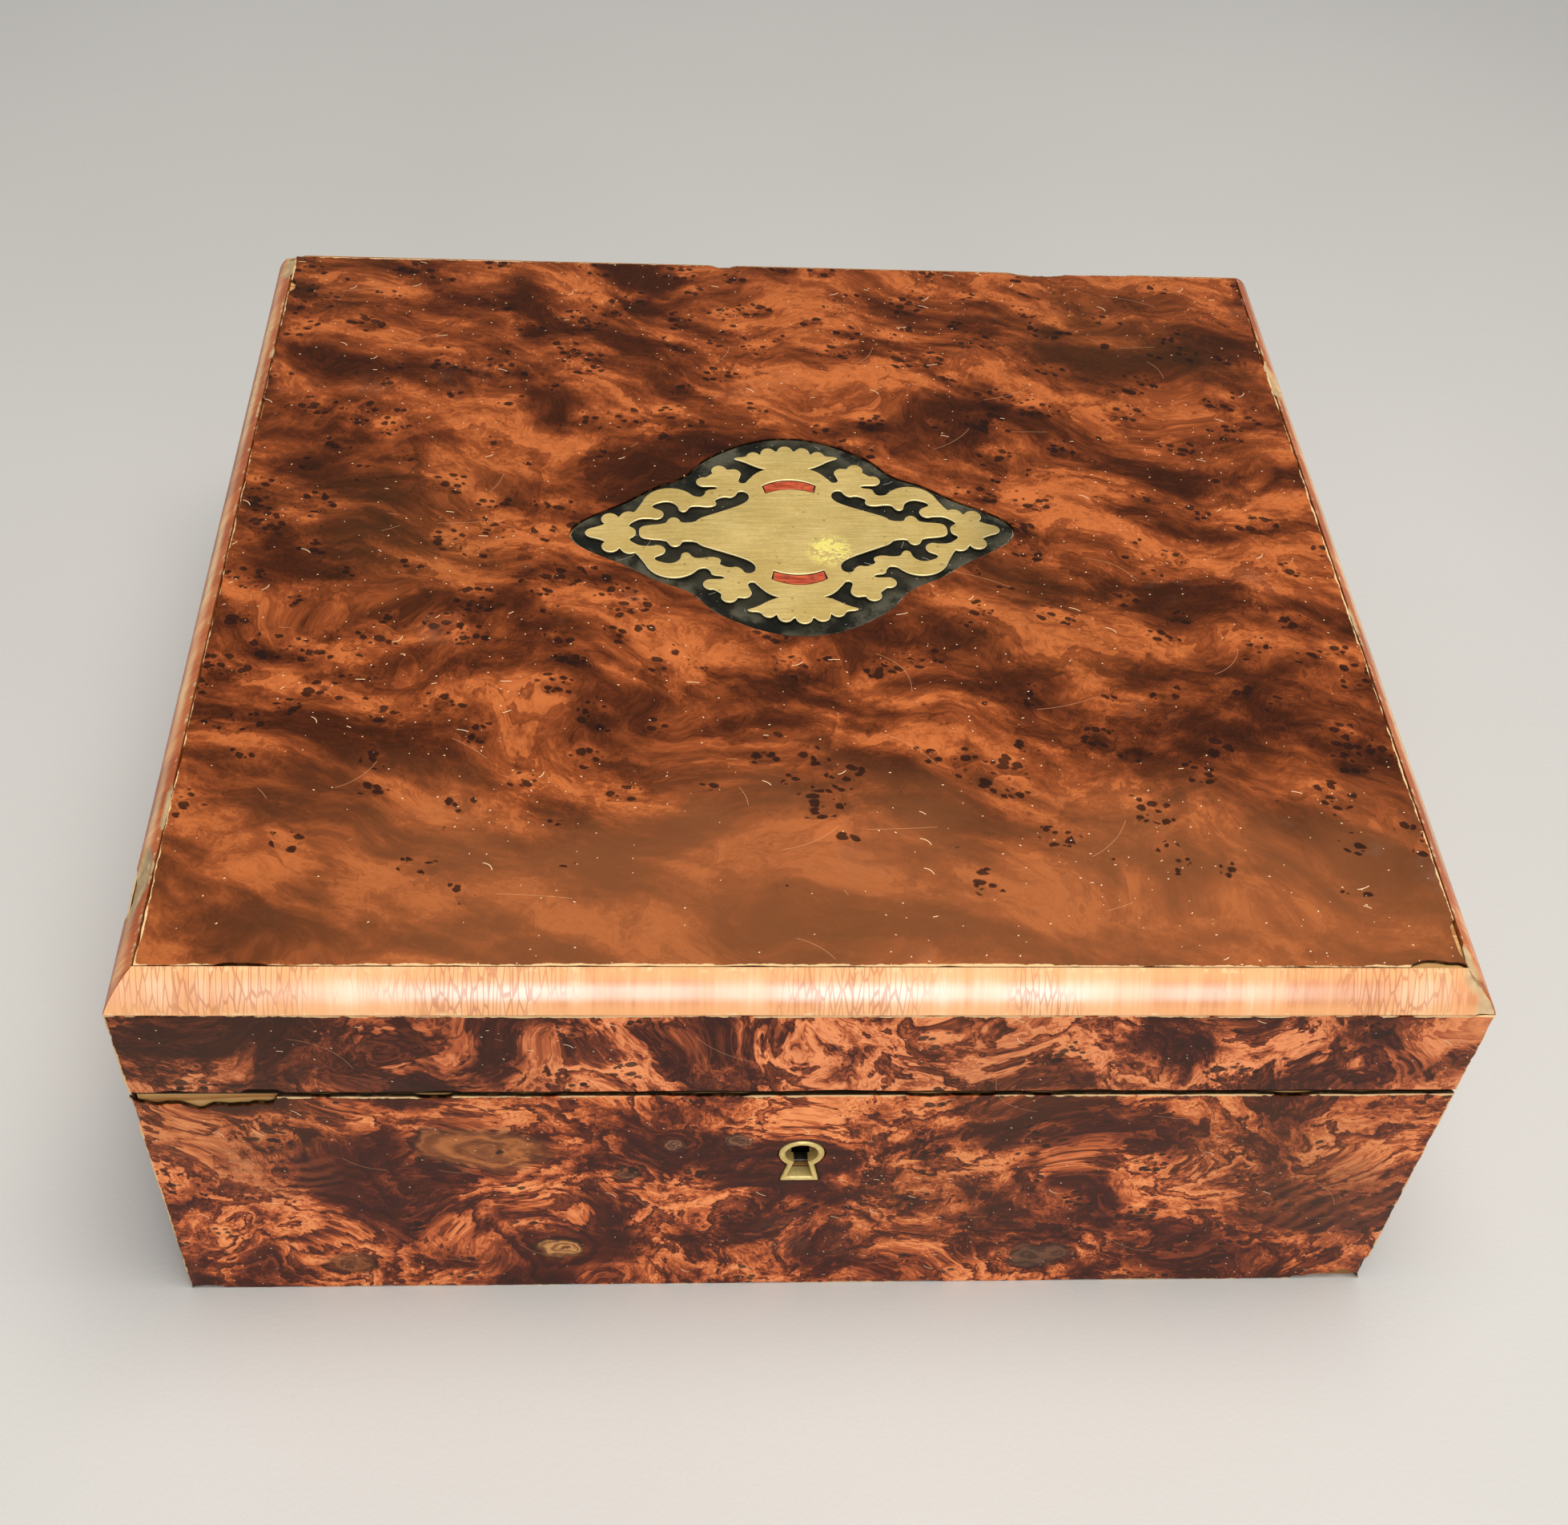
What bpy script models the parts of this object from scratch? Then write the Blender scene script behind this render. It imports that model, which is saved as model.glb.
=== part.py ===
"""A lockable table box: burr-veneered carcass, hinged and chamfered lid, brass cartouche and box lock."""

from math import asin, cos, degrees, pi, radians, sin

import bmesh
import bpy
from mathutils import Matrix, Vector

# ---------------------------------------------------------------- driving dimensions, in metres
BOX_LENGTH = 0.270  # left to right, over the veneers
BOX_DEPTH = 0.252  # front to back, over the veneers
BODY_HEIGHT = 0.0765  # floor of the box to the rim of the body
LID_GAP = 0.0012  # daylight between the rim and the lid
LID_BAND = 0.0265  # upright part of the lid's sides
CHAMFER_RISE = 0.0078
CHAMFER_INSET = 0.0057
CHAMFER_SWELL = 0.0006  # how far the chamfer's face bows out
VENEER = 0.0009
WALL = 0.009  # carcass wood, sides of the body and the lid
FLOOR = 0.006
FIT = 0.0003  # glue line, or play between two pieces that touch

CARTOUCHE_LENGTH = 0.1056  # tip to tip of the black ground
CARTOUCHE_RIGHT = 0.0012  # centre of the cartouche from the centre of the lid
CARTOUCHE_BACK = 0.0085
CARTOUCHE_TURN = 2.0  # degrees
BRASS_SHEET = 0.0005
BRASS_PROUD = 0.00035
GROUND_SHEET = 0.0007

KEYHOLE_HEIGHT = 0.05475  # centre of the round part above the table
KEYHOLE_RIGHT = 0.0004
KEYHOLE_RADIUS = 0.0035
KEYHOLE_NECK = 0.0039  # width where the slot leaves the round part
KEYHOLE_FOOT = 0.0050  # width at the foot of the slot
KEYHOLE_DROP = 0.0087  # centre of the round part to the foot of the slot
ESCUTCHEON_WALL = 0.0013
ESCUTCHEON_PROUD = 0.0002

CASE_LENGTH = 0.044
CASE_HEIGHT = 0.034
CASE_PLATE = 0.0008
LOCK_COVER = 0.0025  # wood left in front of the lock case
SELVEDGE_LENGTH = 0.060
SELVEDGE_WIDTH = 0.0074
SELVEDGE_PLATE = 0.0016
LINK_LENGTH = 0.052
LINK_WIDTH = 0.0050
LINK_PLATE = 0.0012
STAPLE_SPACING = 0.026
STAPLE_WIDTH = 0.0026  # along the plate
STAPLE_LEG = 0.0008
STAPLE_DROP = 0.0082  # below the underside of the link plate
STAPLE_PLAY = 0.0006  # round each staple in the selvedge's slots
STAPLE_EYE = 0.0028  # height of the hole that the bolt's nose enters
BOLT_TRAVEL = 0.004
BOLT_BAR = 0.0030  # height of the bolt's bar
BOLT_POST = 0.0018  # width of each upright
BOLT_NOSE = 0.0018  # height of each nose that enters an eye
TALON_HALF = 0.003  # the lug that the key pushes
TALON_DROP = 0.004
SPRING_PLATE = 0.0004
SPRING_SAG = 0.0030

HINGE_SPACING = 0.160  # between the middles of the two hinges
LEAF_LENGTH = 0.032
LEAF_WIDTH = 0.0082
LEAF_PLATE = 0.0011
KNUCKLE_RADIUS = 0.0021
KNUCKLE_BEHIND = 0.0006  # hinge axis behind the back of the box
PIN_RADIUS = 0.0009
TURNING_PLAY = 0.0004

SCREW_HEAD_RADIUS = 0.0017
SCREW_HEAD_DEPTH = 0.0008
SCREW_SHANK_RADIUS = 0.0009
SCREW_LENGTH = 0.0070
SCREW_SLOT = 0.0005

LINING = 0.0016  # cloth on card against the walls
PAD = 0.0030  # cloth over wadding on the floor and under the lid
RIM_MARGIN = 0.0040  # bare wood left above the wall panels

# ---------------------------------------------------------------- levels and faces worked out from them
BARREL_PROUD = KNUCKLE_BEHIND + KNUCKLE_RADIUS
FRONT = -(ESCUTCHEON_PROUD + BOX_DEPTH + BARREL_PROUD) / 2 + ESCUTCHEON_PROUD
BACK = FRONT + BOX_DEPTH
MIDDLE_Y = (FRONT + BACK) / 2
HALF_X = BOX_LENGTH / 2
SKIN = VENEER + FIT  # outer face of the box to the outer face of the carcass
INNER = SKIN + WALL  # outer face of the box to the inner face of the carcass
LID_BOTTOM = BODY_HEIGHT + LID_GAP
LID_SHOULDER = LID_BOTTOM + LID_BAND
LID_TOP = LID_SHOULDER + CHAMFER_RISE
BOARD_TOP = LID_TOP - SKIN
BOARD_BOTTOM = LID_SHOULDER  # the board lies on the rails, inside the chamfers
RAIL_TOP = BOARD_BOTTOM - FIT
BRASS_TOP = LID_TOP + BRASS_PROUD
BRASS_BOTTOM = BRASS_TOP - BRASS_SHEET
GROUND_TOP = BRASS_BOTTOM - FIT
GROUND_BOTTOM = GROUND_TOP - GROUND_SHEET
BED_BOTTOM = GROUND_BOTTOM - FIT

WALL_INNER_Y = FRONT + INNER  # inner face of the body's front wall
CASE_TOP = BODY_HEIGHT - SELVEDGE_PLATE - FIT
CASE_BOTTOM = CASE_TOP - CASE_HEIGHT
CASE_THICKNESS = WALL - LOCK_COVER - FIT
CASE_FRONT_Y = WALL_INNER_Y - CASE_THICKNESS
ESCUTCHEON_DEPTH = SKIN + LOCK_COVER / 2
STAPLE_Y = WALL_INNER_Y - CASE_THICKNESS / 2
STAPLE_THICKNESS = CASE_THICKNESS - 2 * CASE_PLATE - 2 * STAPLE_PLAY
STAPLE_BOTTOM = LID_BOTTOM - STAPLE_DROP
EYE_WIDTH = STAPLE_THICKNESS - 2 * STAPLE_LEG
EYE_Z = STAPLE_BOTTOM + STAPLE_LEG + STAPLE_EYE / 2
BOLT_THICKNESS = EYE_WIDTH - 2 * FIT

AXIS_Y = BACK + KNUCKLE_BEHIND
AXIS_Z = BODY_HEIGHT + LID_GAP / 2

CUT_PAST = 0.002  # how far a cutter runs past the face that it opens


# ---------------------------------------------------------------- materials
def material(name, colour, roughness, metallic=0.0):
    made = bpy.data.materials.new(name)
    made.use_nodes = True
    shader = made.node_tree.nodes["Principled BSDF"]
    shader.inputs["Base Color"].default_value = (*colour, 1.0)
    shader.inputs["Roughness"].default_value = roughness
    shader.inputs["Metallic"].default_value = metallic
    return made


# ---------------------------------------------------------------- shapes
def finished(name, bm, finish):
    """Turns a bmesh into a named object with one material and outward faces."""
    bmesh.ops.remove_doubles(bm, verts=bm.verts, dist=1e-7)
    bmesh.ops.recalc_face_normals(bm, faces=bm.faces)
    mesh = bpy.data.meshes.new(name)
    bm.to_mesh(mesh)
    bm.free()
    made = bpy.data.objects.new(name, mesh)
    bpy.context.scene.collection.objects.link(made)
    if finish is not None:
        mesh.materials.append(finish)
    return made


def block(name, low, high, finish=None):
    bm = bmesh.new()
    bmesh.ops.create_cube(bm, size=1.0)
    low = Vector(low)
    high = Vector(high)
    bmesh.ops.scale(bm, vec=high - low, verts=bm.verts)
    bmesh.ops.translate(bm, vec=(low + high) / 2, verts=bm.verts)
    return finished(name, bm, finish)


def rod(name, centre, radius, length, along, finish=None, sides=20):
    """A round bar with its middle at centre, along X, Y or Z."""
    turns = {"X": Matrix.Rotation(pi / 2, 4, "Y"), "Y": Matrix.Rotation(pi / 2, 4, "X"), "Z": Matrix()}
    bm = bmesh.new()
    bmesh.ops.create_cone(
        bm, cap_ends=True, segments=sides, radius1=radius, radius2=radius, depth=length
    )
    bmesh.ops.transform(bm, matrix=Matrix.Translation(centre) @ turns[along], verts=bm.verts)
    made = finished(name, bm, finish)
    made.data.shade_smooth()
    made.data.set_sharp_from_angle(angle=radians(40))
    return made


def sheet(name, loops, bottom, top, place, finish=None):
    """A flat sheet from an outline and the outlines of its holes, carried from plan to its place."""
    bm = bmesh.new()
    for loop in loops:
        corners = [bm.verts.new((x, y, bottom)) for x, y in loop]
        for start, end in zip(corners, corners[1:] + corners[:1]):
            bm.edges.new((start, end))
    bmesh.ops.triangle_fill(bm, edges=bm.edges, use_beauty=True, use_dissolve=False)
    grown = bmesh.ops.extrude_face_region(bm, geom=bm.faces[:])
    risen = [part for part in grown["geom"] if isinstance(part, bmesh.types.BMVert)]
    bmesh.ops.translate(bm, vec=(0, 0, top - bottom), verts=risen)
    bmesh.ops.transform(bm, matrix=place, verts=bm.verts)
    return finished(name, bm, finish)


def cut(target, *cutters):
    """Takes each cutter's shape out of the target and leaves the cutter as a hidden guide."""
    for cutter in cutters:
        cutter.hide_render = True
        cutter.display_type = "WIRE"
        taken = target.modifiers.new("cut " + cutter.name, "BOOLEAN")
        taken.operation = "DIFFERENCE"
        taken.solver = "EXACT"
        taken.object = cutter


def join(target, *others):
    for other in others:
        other.hide_render = True
        other.display_type = "WIRE"
        added = target.modifiers.new("join " + other.name, "BOOLEAN")
        added.operation = "UNION"
        added.solver = "EXACT"
        added.object = other


def mitred_strip(name, side, section, finish):
    """A strip along one side of the box. Its section is (inset, height) pairs, and its ends are mitred."""
    along_x = side in ("front", "back")
    half = HALF_X if along_x else BOX_DEPTH / 2
    bm = bmesh.new()
    ends = []
    for sign in (-1, 1):
        end = []
        for inset, height in section:
            run = sign * (half - inset - FIT / 2)
            reach = (BOX_DEPTH / 2 if along_x else HALF_X) - inset
            outward = -reach if side in ("front", "left") else reach
            spot = (run, MIDDLE_Y + outward, height) if along_x else (outward, MIDDLE_Y + run, height)
            end.append(bm.verts.new(spot))
        ends.append(end)
    for end in ends:
        bm.faces.new(end)
    for place in range(len(section)):
        after = (place + 1) % len(section)
        bm.faces.new((ends[0][place], ends[0][after], ends[1][after], ends[1][place]))
    return finished(name, bm, finish)


# ---------------------------------------------------------------- outlines of the cartouche
# They are drawn in millimetres for a ground 105.6 mm long, and scaled to CARTOUCHE_LENGTH.
DRAWN_LENGTH = 105.6


def arc(x, y, radius, start, end, steps):
    """Points on a circle from one angle to another, in degrees."""
    angles = [radians(start + (end - start) * step / steps) for step in range(steps + 1)]
    return [(x + radius * cos(angle), y + radius * sin(angle)) for angle in angles]


def mirrored_four_ways(quarter):
    """A closed outline from the quarter of it that runs from the X axis to the Y axis."""
    half = quarter + [(-x, y) for x, y in reversed(quarter[:-1])]
    return half + [(x, -y) for x, y in reversed(half[1:-1])]


def ground_outline():
    quarter = [
        (52.8, 0.0), (51.6, 3.0), (49.4, 5.2), (45.0, 8.2), (40.0, 11.0), (36.0, 14.2), (32.0, 17.2),
        (27.6, 19.2), (24.4, 21.4), (22.4, 24.4), (20.0, 27.4), (15.6, 30.6), (11.0, 33.2), (5.6, 35.2),
        (0.0, 35.8),
    ]
    return mirrored_four_ways(quarter)


def brass_outline():
    """Fleuron, leaf, trefoil, notch and palmette, from the right tip round to the crown."""
    fleuron = [(49.4, 0.0), (48.6, 1.4), (46.2, 2.2)] + arc(43.3, 4.9, 2.1, -55, 165, 8)
    leaf = arc(38.8, 5.4, 2.2, 35, 125, 3) + arc(28.9, 9.4, 6.8, 15, 145, 8)
    gap = [(22.4, 12.9), (21.3, 12.9), (20.5, 13.9), (20.2, 15.4), (17.4, 15.8), (17.5, 16.7)]
    trefoil = arc(20.6, 18.5, 1.8, -95, 110, 6) + arc(16.6, 22.8, 1.9, -30, 170, 7)
    trefoil += arc(13.2, 21.5, 1.8, 65, 200, 5)
    notch = arc(11.1, 18.9, 1.0, 5, -165, 5) + [(9.2, 19.9), (8.0, 21.5), (6.2, 22.8)]
    horn = [(8.2, 24.2), (10.6, 25.9), (12.8, 27.5), (11.8, 28.5), (10.2, 28.7)]
    crown = arc(6.9, 28.9, 1.7, -15, 165, 5) + [(4.4, 30.4), (3.1, 31.3), (1.5, 31.9), (0.0, 31.7)]
    return mirrored_four_ways(fleuron + leaf + gap + trefoil + notch + horn + crown)


def slot_outline():
    """The pierced arrow-shaped slot on the right, between the inner plate and the leaves."""
    outer = [(37.3, 0.0), (37.5, 1.3), (39.1, 2.4), (38.0, 3.7), (36.2, 4.9), (34.2, 4.9)]
    outer += arc(32.5, 6.5, 1.9, -60, -235, 5) + [(33.4, 9.1), (32.7, 10.2)]
    outer += arc(29.9, 8.2, 2.9, 70, 165, 3) + arc(25.9, 8.4, 1.1, 0, -150, 4)
    outer += [(24.2, 9.2), (22.5, 9.4), (20.0, 8.9), (18.2, 9.4), (17.8, 10.4), (18.3, 11.4), (17.2, 12.3)]
    outer += [(15.8, 12.8), (14.3, 12.4), (13.1, 13.3), (12.6, 14.6), (11.3, 14.9), (10.1, 14.0)]
    inner = [(9.9, 12.3), (10.8, 10.8), (13.0, 9.3), (16.5, 7.6), (20.0, 6.0), (22.3, 4.9), (23.4, 3.5)]
    inner += [(26.4, 3.3)] + arc(28.3, 3.8, 1.5, 165, 15, 4) + [(30.4, 3.0), (35.0, 2.5), (36.4, 1.7)]
    upper = outer + inner
    return upper + [(x, -y) for x, y in reversed(upper[1:])]


def slip_outline(inset, upwards):
    """An arched slip, or with no inset the window that it fills."""
    outer_radius = 11.2 - inset
    inner_radius = 12.7 + inset
    outer_half = 36.0 - degrees(inset / outer_radius)
    inner_half = 27.7 - degrees(inset / inner_radius)
    outer = arc(0.0, 7.8, outer_radius, 90 - outer_half, 90 + outer_half, 8)
    inner = arc(0.0, 2.7, inner_radius, 90 + inner_half, 90 - inner_half, 8)
    flip = 1 if upwards else -1
    return [(x, flip * y) for x, y in outer + inner]


def cartouche_place():
    size = CARTOUCHE_LENGTH / DRAWN_LENGTH
    scale = Matrix.Diagonal((size, size, 1.0, 1.0))
    turn = Matrix.Rotation(radians(CARTOUCHE_TURN), 4, "Z")
    return Matrix.Translation((CARTOUCHE_RIGHT, MIDDLE_Y + CARTOUCHE_BACK, 0.0)) @ turn @ scale


# ---------------------------------------------------------------- keyhole
def keyhole_outline(grow):
    """A keyhole, grown all round by the given width: round above, flared below, in X and Z."""
    radius = KEYHOLE_RADIUS + grow
    neck = KEYHOLE_NECK / 2 + grow
    foot = KEYHOLE_FOOT / 2 + grow
    drop = KEYHOLE_DROP + grow
    leave = degrees(asin(neck / radius))  # where the slot's sides leave the round part
    return arc(0.0, 0.0, radius, leave - 90, 270 - leave, 18) + [(-foot, -drop), (foot, -drop)]


def keyhole_prism(name, grow, y_front, y_back, finish=None):
    """The keyhole's outline carried from the front towards the back."""
    stand = Matrix.Translation((KEYHOLE_RIGHT, 0.0, KEYHOLE_HEIGHT)) @ Matrix.Rotation(pi / 2, 4, "X")
    return sheet(name, [keyhole_outline(grow)], -y_back, -y_front, stand, finish)


# ---------------------------------------------------------------- body
def corner_joint_wall(name, side, bottom, top, finish):
    """Front and back pieces run the full length and are rebated at their ends for the side pieces."""
    reach = HALF_X - SKIN
    shoulder = reach - WALL - FIT
    rebate = WALL / 2
    plan = [
        (-reach, 0.0), (reach, 0.0), (reach, rebate), (shoulder, rebate),
        (shoulder, WALL), (-shoulder, WALL), (-shoulder, rebate), (-reach, rebate),
    ]
    if side == "front":
        place = Matrix.Translation((0.0, FRONT + SKIN, 0.0))
    else:
        place = Matrix.Translation((0.0, BACK - SKIN, 0.0)) @ Matrix.Diagonal((1.0, -1.0, 1.0, 1.0))
    return sheet(name, [plan], bottom, top, place, finish)


def side_wall(name, side, bottom, top, finish):
    """Left and right pieces run between the front and back ones, into their rebates."""
    reach = HALF_X - SKIN
    end = BOX_DEPTH / 2 - SKIN - WALL / 2 - FIT
    low_x, high_x = (-reach, -reach + WALL) if side == "left" else (reach - WALL, reach)
    return block(name, (low_x, MIDDLE_Y - end, bottom), (high_x, MIDDLE_Y + end, top), finish)


def frame_of_four(prefix, word, bottom, top, finish):
    made = {}
    for side in ("front", "back"):
        made[side] = corner_joint_wall(f"{prefix}_{side}_{word}", side, bottom, top, finish)
    for side in ("left", "right"):
        made[side] = side_wall(f"{prefix}_{side}_{word}", side, bottom, top, finish)
    return made


def veneers_of_four(prefix, bottom, top, finish):
    section = [(0.0, bottom), (VENEER, bottom), (VENEER, top), (0.0, top)]
    return {
        side: mitred_strip(f"{prefix}_{side}_veneer", side, section, finish)
        for side in ("front", "back", "left", "right")
    }


def make_floor(finish):
    low = (-HALF_X + SKIN, FRONT + SKIN, 0.0)
    high = (HALF_X - SKIN, BACK - SKIN, FLOOR)
    return block("base_floor", low, high, finish)


def make_escutcheon(veneer, wall, finish):
    """A brass ring driven into the front, with the key's way through the veneer and the wall behind it."""
    depth_to = FRONT + ESCUTCHEON_DEPTH
    ring = keyhole_prism(
        "keyhole_escutcheon", ESCUTCHEON_WALL, FRONT - ESCUTCHEON_PROUD, depth_to, finish
    )
    cut(ring, keyhole_prism("key way in ring", 0.0, FRONT - CUT_PAST, depth_to + CUT_PAST))
    seat = keyhole_prism("seat of ring", ESCUTCHEON_WALL + FIT, FRONT - CUT_PAST, depth_to + FIT)
    way = keyhole_prism("key way", 0.0, FRONT - CUT_PAST, WALL_INNER_Y)
    cut(veneer, seat)
    cut(wall, seat, way)
    return ring


# ---------------------------------------------------------------- lid
def chamfer_section():
    """Upright back and bottom of the moulding, and a face that bows out between its two edges."""
    steps = 6
    face = []
    for step in range(steps + 1):
        share = step / steps
        bow = 4 * CHAMFER_SWELL * share * (1 - share)
        slope = (CHAMFER_INSET**2 + CHAMFER_RISE**2) ** 0.5
        inset = CHAMFER_INSET * share - bow * CHAMFER_RISE / slope
        height = LID_SHOULDER + CHAMFER_RISE * share + bow * CHAMFER_INSET / slope
        face.append((max(inset, 0.0), height))
    return face + [(CHAMFER_INSET, LID_SHOULDER)]


def make_chamfers(finish):
    section = chamfer_section()
    for side in ("front", "back", "left", "right"):
        mitred_strip(f"lid_{side}_chamfer", side, section, finish)


def panel_inside_chamfers(name, bottom, top, finish):
    reach_x = HALF_X - CHAMFER_INSET - FIT
    reach_y = BOX_DEPTH / 2 - CHAMFER_INSET - FIT
    low = (-reach_x, MIDDLE_Y - reach_y, bottom)
    high = (reach_x, MIDDLE_Y + reach_y, top)
    return block(name, low, high, finish)


def make_cartouche(veneer, board, black, brass, red):
    """Black ground let into the lid, the pierced brass plate on it, and a red slip in each window."""
    place = cartouche_place()
    opening = 1 + 2 * FIT / (CARTOUCHE_LENGTH * 2 / 3)  # the bed clears the ground all round
    wider = place @ Matrix.Diagonal((opening, opening, 1.0, 1.0))
    slip_fit = FIT * DRAWN_LENGTH / CARTOUCHE_LENGTH
    sheet("cartouche_ground", [ground_outline()], GROUND_BOTTOM, GROUND_TOP, place, black)
    bed = sheet("bed of ground", [ground_outline()], BED_BOTTOM, LID_TOP + CUT_PAST, wider)
    cut(veneer, bed)
    cut(board, bed)
    slot = slot_outline()
    holes = [slot, [(-x, y) for x, y in slot], slip_outline(0.0, True), slip_outline(0.0, False)]
    sheet("cartouche_brass", [brass_outline()] + holes, BRASS_BOTTOM, BRASS_TOP, place, brass)
    for name, upwards in (("cartouche_back_slip", True), ("cartouche_front_slip", False)):
        sheet(name, [slip_outline(slip_fit, upwards)], BRASS_BOTTOM, BRASS_TOP - FIT / 2, place, red)


# ---------------------------------------------------------------- screws
def make_screw(name, x, y, z, upwards, finish):
    """A countersunk wood screw with its head's face at z. It points down, or up into the lid."""
    profile = [
        (SCREW_HEAD_RADIUS, 0.0), (SCREW_SHANK_RADIUS, -SCREW_HEAD_DEPTH),
        (SCREW_SHANK_RADIUS, -SCREW_LENGTH * 0.7), (0.0, -SCREW_LENGTH),
    ]
    bm = bmesh.new()
    spots = [bm.verts.new((0.0, 0.0, 0.0))] + [bm.verts.new((r, 0.0, h)) for r, h in profile]
    edges = [bm.edges.new(pair) for pair in zip(spots, spots[1:])]
    bmesh.ops.spin(
        bm, geom=spots + edges, cent=(0, 0, 0), axis=(0, 0, 1), angle=2 * pi, steps=12,
        use_merge=True, use_duplicate=False,
    )
    turn = Matrix.Rotation(pi, 4, "X") if upwards else Matrix()
    bmesh.ops.transform(bm, matrix=Matrix.Translation((x, y, z)) @ turn, verts=bm.verts)
    screw = finished(name, bm, finish)
    half = SCREW_SLOT / 2
    reach = SCREW_HEAD_RADIUS * 1.2
    depth = SCREW_HEAD_DEPTH * 0.6
    low_z, high_z = (z - CUT_PAST, z + depth) if upwards else (z - depth, z + CUT_PAST)
    cut(screw, block("slot of " + name, (x - half, y - reach, low_z), (x + half, y + reach, high_z)))
    return screw


def screw_hole(name, x, y, z, upwards):
    """The hole of one screw, wider than it all round, through the plate and into the wood."""
    bm = bmesh.new()
    sign = 1 if upwards else -1
    top = z - sign * CUT_PAST
    profile = [
        (SCREW_HEAD_RADIUS + FIT, top), (SCREW_HEAD_RADIUS + FIT, z),
        (SCREW_SHANK_RADIUS + FIT, z + sign * SCREW_HEAD_DEPTH),
        (SCREW_SHANK_RADIUS + FIT, z + sign * (SCREW_LENGTH + FIT)),
    ]
    spots = [bm.verts.new((0.0, 0.0, top))]
    spots += [bm.verts.new((r, 0.0, h)) for r, h in profile]
    spots.append(bm.verts.new((0.0, 0.0, z + sign * (SCREW_LENGTH + FIT))))
    edges = [bm.edges.new(pair) for pair in zip(spots, spots[1:])]
    bmesh.ops.spin(
        bm, geom=spots + edges, cent=(0, 0, 0), axis=(0, 0, 1), angle=2 * pi, steps=12,
        use_merge=True, use_duplicate=False,
    )
    bmesh.ops.translate(bm, vec=(x, y, 0.0), verts=bm.verts)
    return finished(name, bm, None)


# ---------------------------------------------------------------- lock
def centred_block(name, x, half_x, low_y, high_y, low_z, high_z, finish=None):
    return block(name, (x - half_x, low_y, low_z), (x + half_x, high_y, high_z), finish)


def staple_places():
    return [sign * STAPLE_SPACING / 2 for sign in (-1, 1)]


def make_lock(wall, brass, steel):
    """Box lock let into the front wall from inside: case, cap, selvedge, bolt and back spring."""
    half = CASE_LENGTH / 2
    cap_front = WALL_INNER_Y - CASE_PLATE
    mortise = centred_block(
        "mortise", 0.0, half + FIT, CASE_FRONT_Y - FIT, WALL_INNER_Y + CUT_PAST,
        CASE_BOTTOM - FIT, BODY_HEIGHT + CUT_PAST,
    )
    selvedge_half = SELVEDGE_LENGTH / 2
    selvedge_front = WALL_INNER_Y - SELVEDGE_WIDTH
    housing = centred_block(
        "selvedge housing", 0.0, selvedge_half + FIT, selvedge_front - FIT, WALL_INNER_Y + CUT_PAST,
        BODY_HEIGHT - SELVEDGE_PLATE - FIT, BODY_HEIGHT + CUT_PAST,
    )
    cut(wall, mortise, housing)

    case = centred_block(
        "lock_case", 0.0, half, CASE_FRONT_Y, cap_front - FIT, CASE_BOTTOM, CASE_TOP, steel
    )
    hollow = centred_block(
        "hollow of case", 0.0, half - CASE_PLATE, CASE_FRONT_Y + CASE_PLATE, cap_front + CUT_PAST,
        CASE_BOTTOM + CASE_PLATE, CASE_TOP + CUT_PAST,
    )
    key_way = keyhole_prism("key way in case", 0.0, CASE_FRONT_Y - CUT_PAST, STAPLE_Y)
    cut(case, hollow, key_way)
    centred_block("lock_cap", 0.0, half, cap_front, WALL_INNER_Y, CASE_BOTTOM, CASE_TOP, steel)

    selvedge = centred_block(
        "lock_selvedge", 0.0, selvedge_half, selvedge_front, WALL_INNER_Y,
        BODY_HEIGHT - SELVEDGE_PLATE, BODY_HEIGHT, brass,
    )
    slot_half = STAPLE_THICKNESS / 2 + STAPLE_PLAY
    for place in staple_places():
        cut(selvedge, centred_block(
            f"staple slot at {place:.3f}", place, STAPLE_WIDTH / 2 + STAPLE_PLAY,
            STAPLE_Y - slot_half, STAPLE_Y + slot_half,
            BODY_HEIGHT - SELVEDGE_PLATE - CUT_PAST, BODY_HEIGHT + CUT_PAST,
        ))
    screw_x = (selvedge_half + half) / 2
    for side, x in (("left", -screw_x), ("right", screw_x)):
        hole = screw_hole(f"hole of lock screw {side}", x, STAPLE_Y, BODY_HEIGHT, False)
        cut(selvedge, hole)
        cut(wall, hole)
        make_screw(f"lock_screw_{side}", x, STAPLE_Y, BODY_HEIGHT, False, brass)
    make_bolt(steel)


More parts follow.
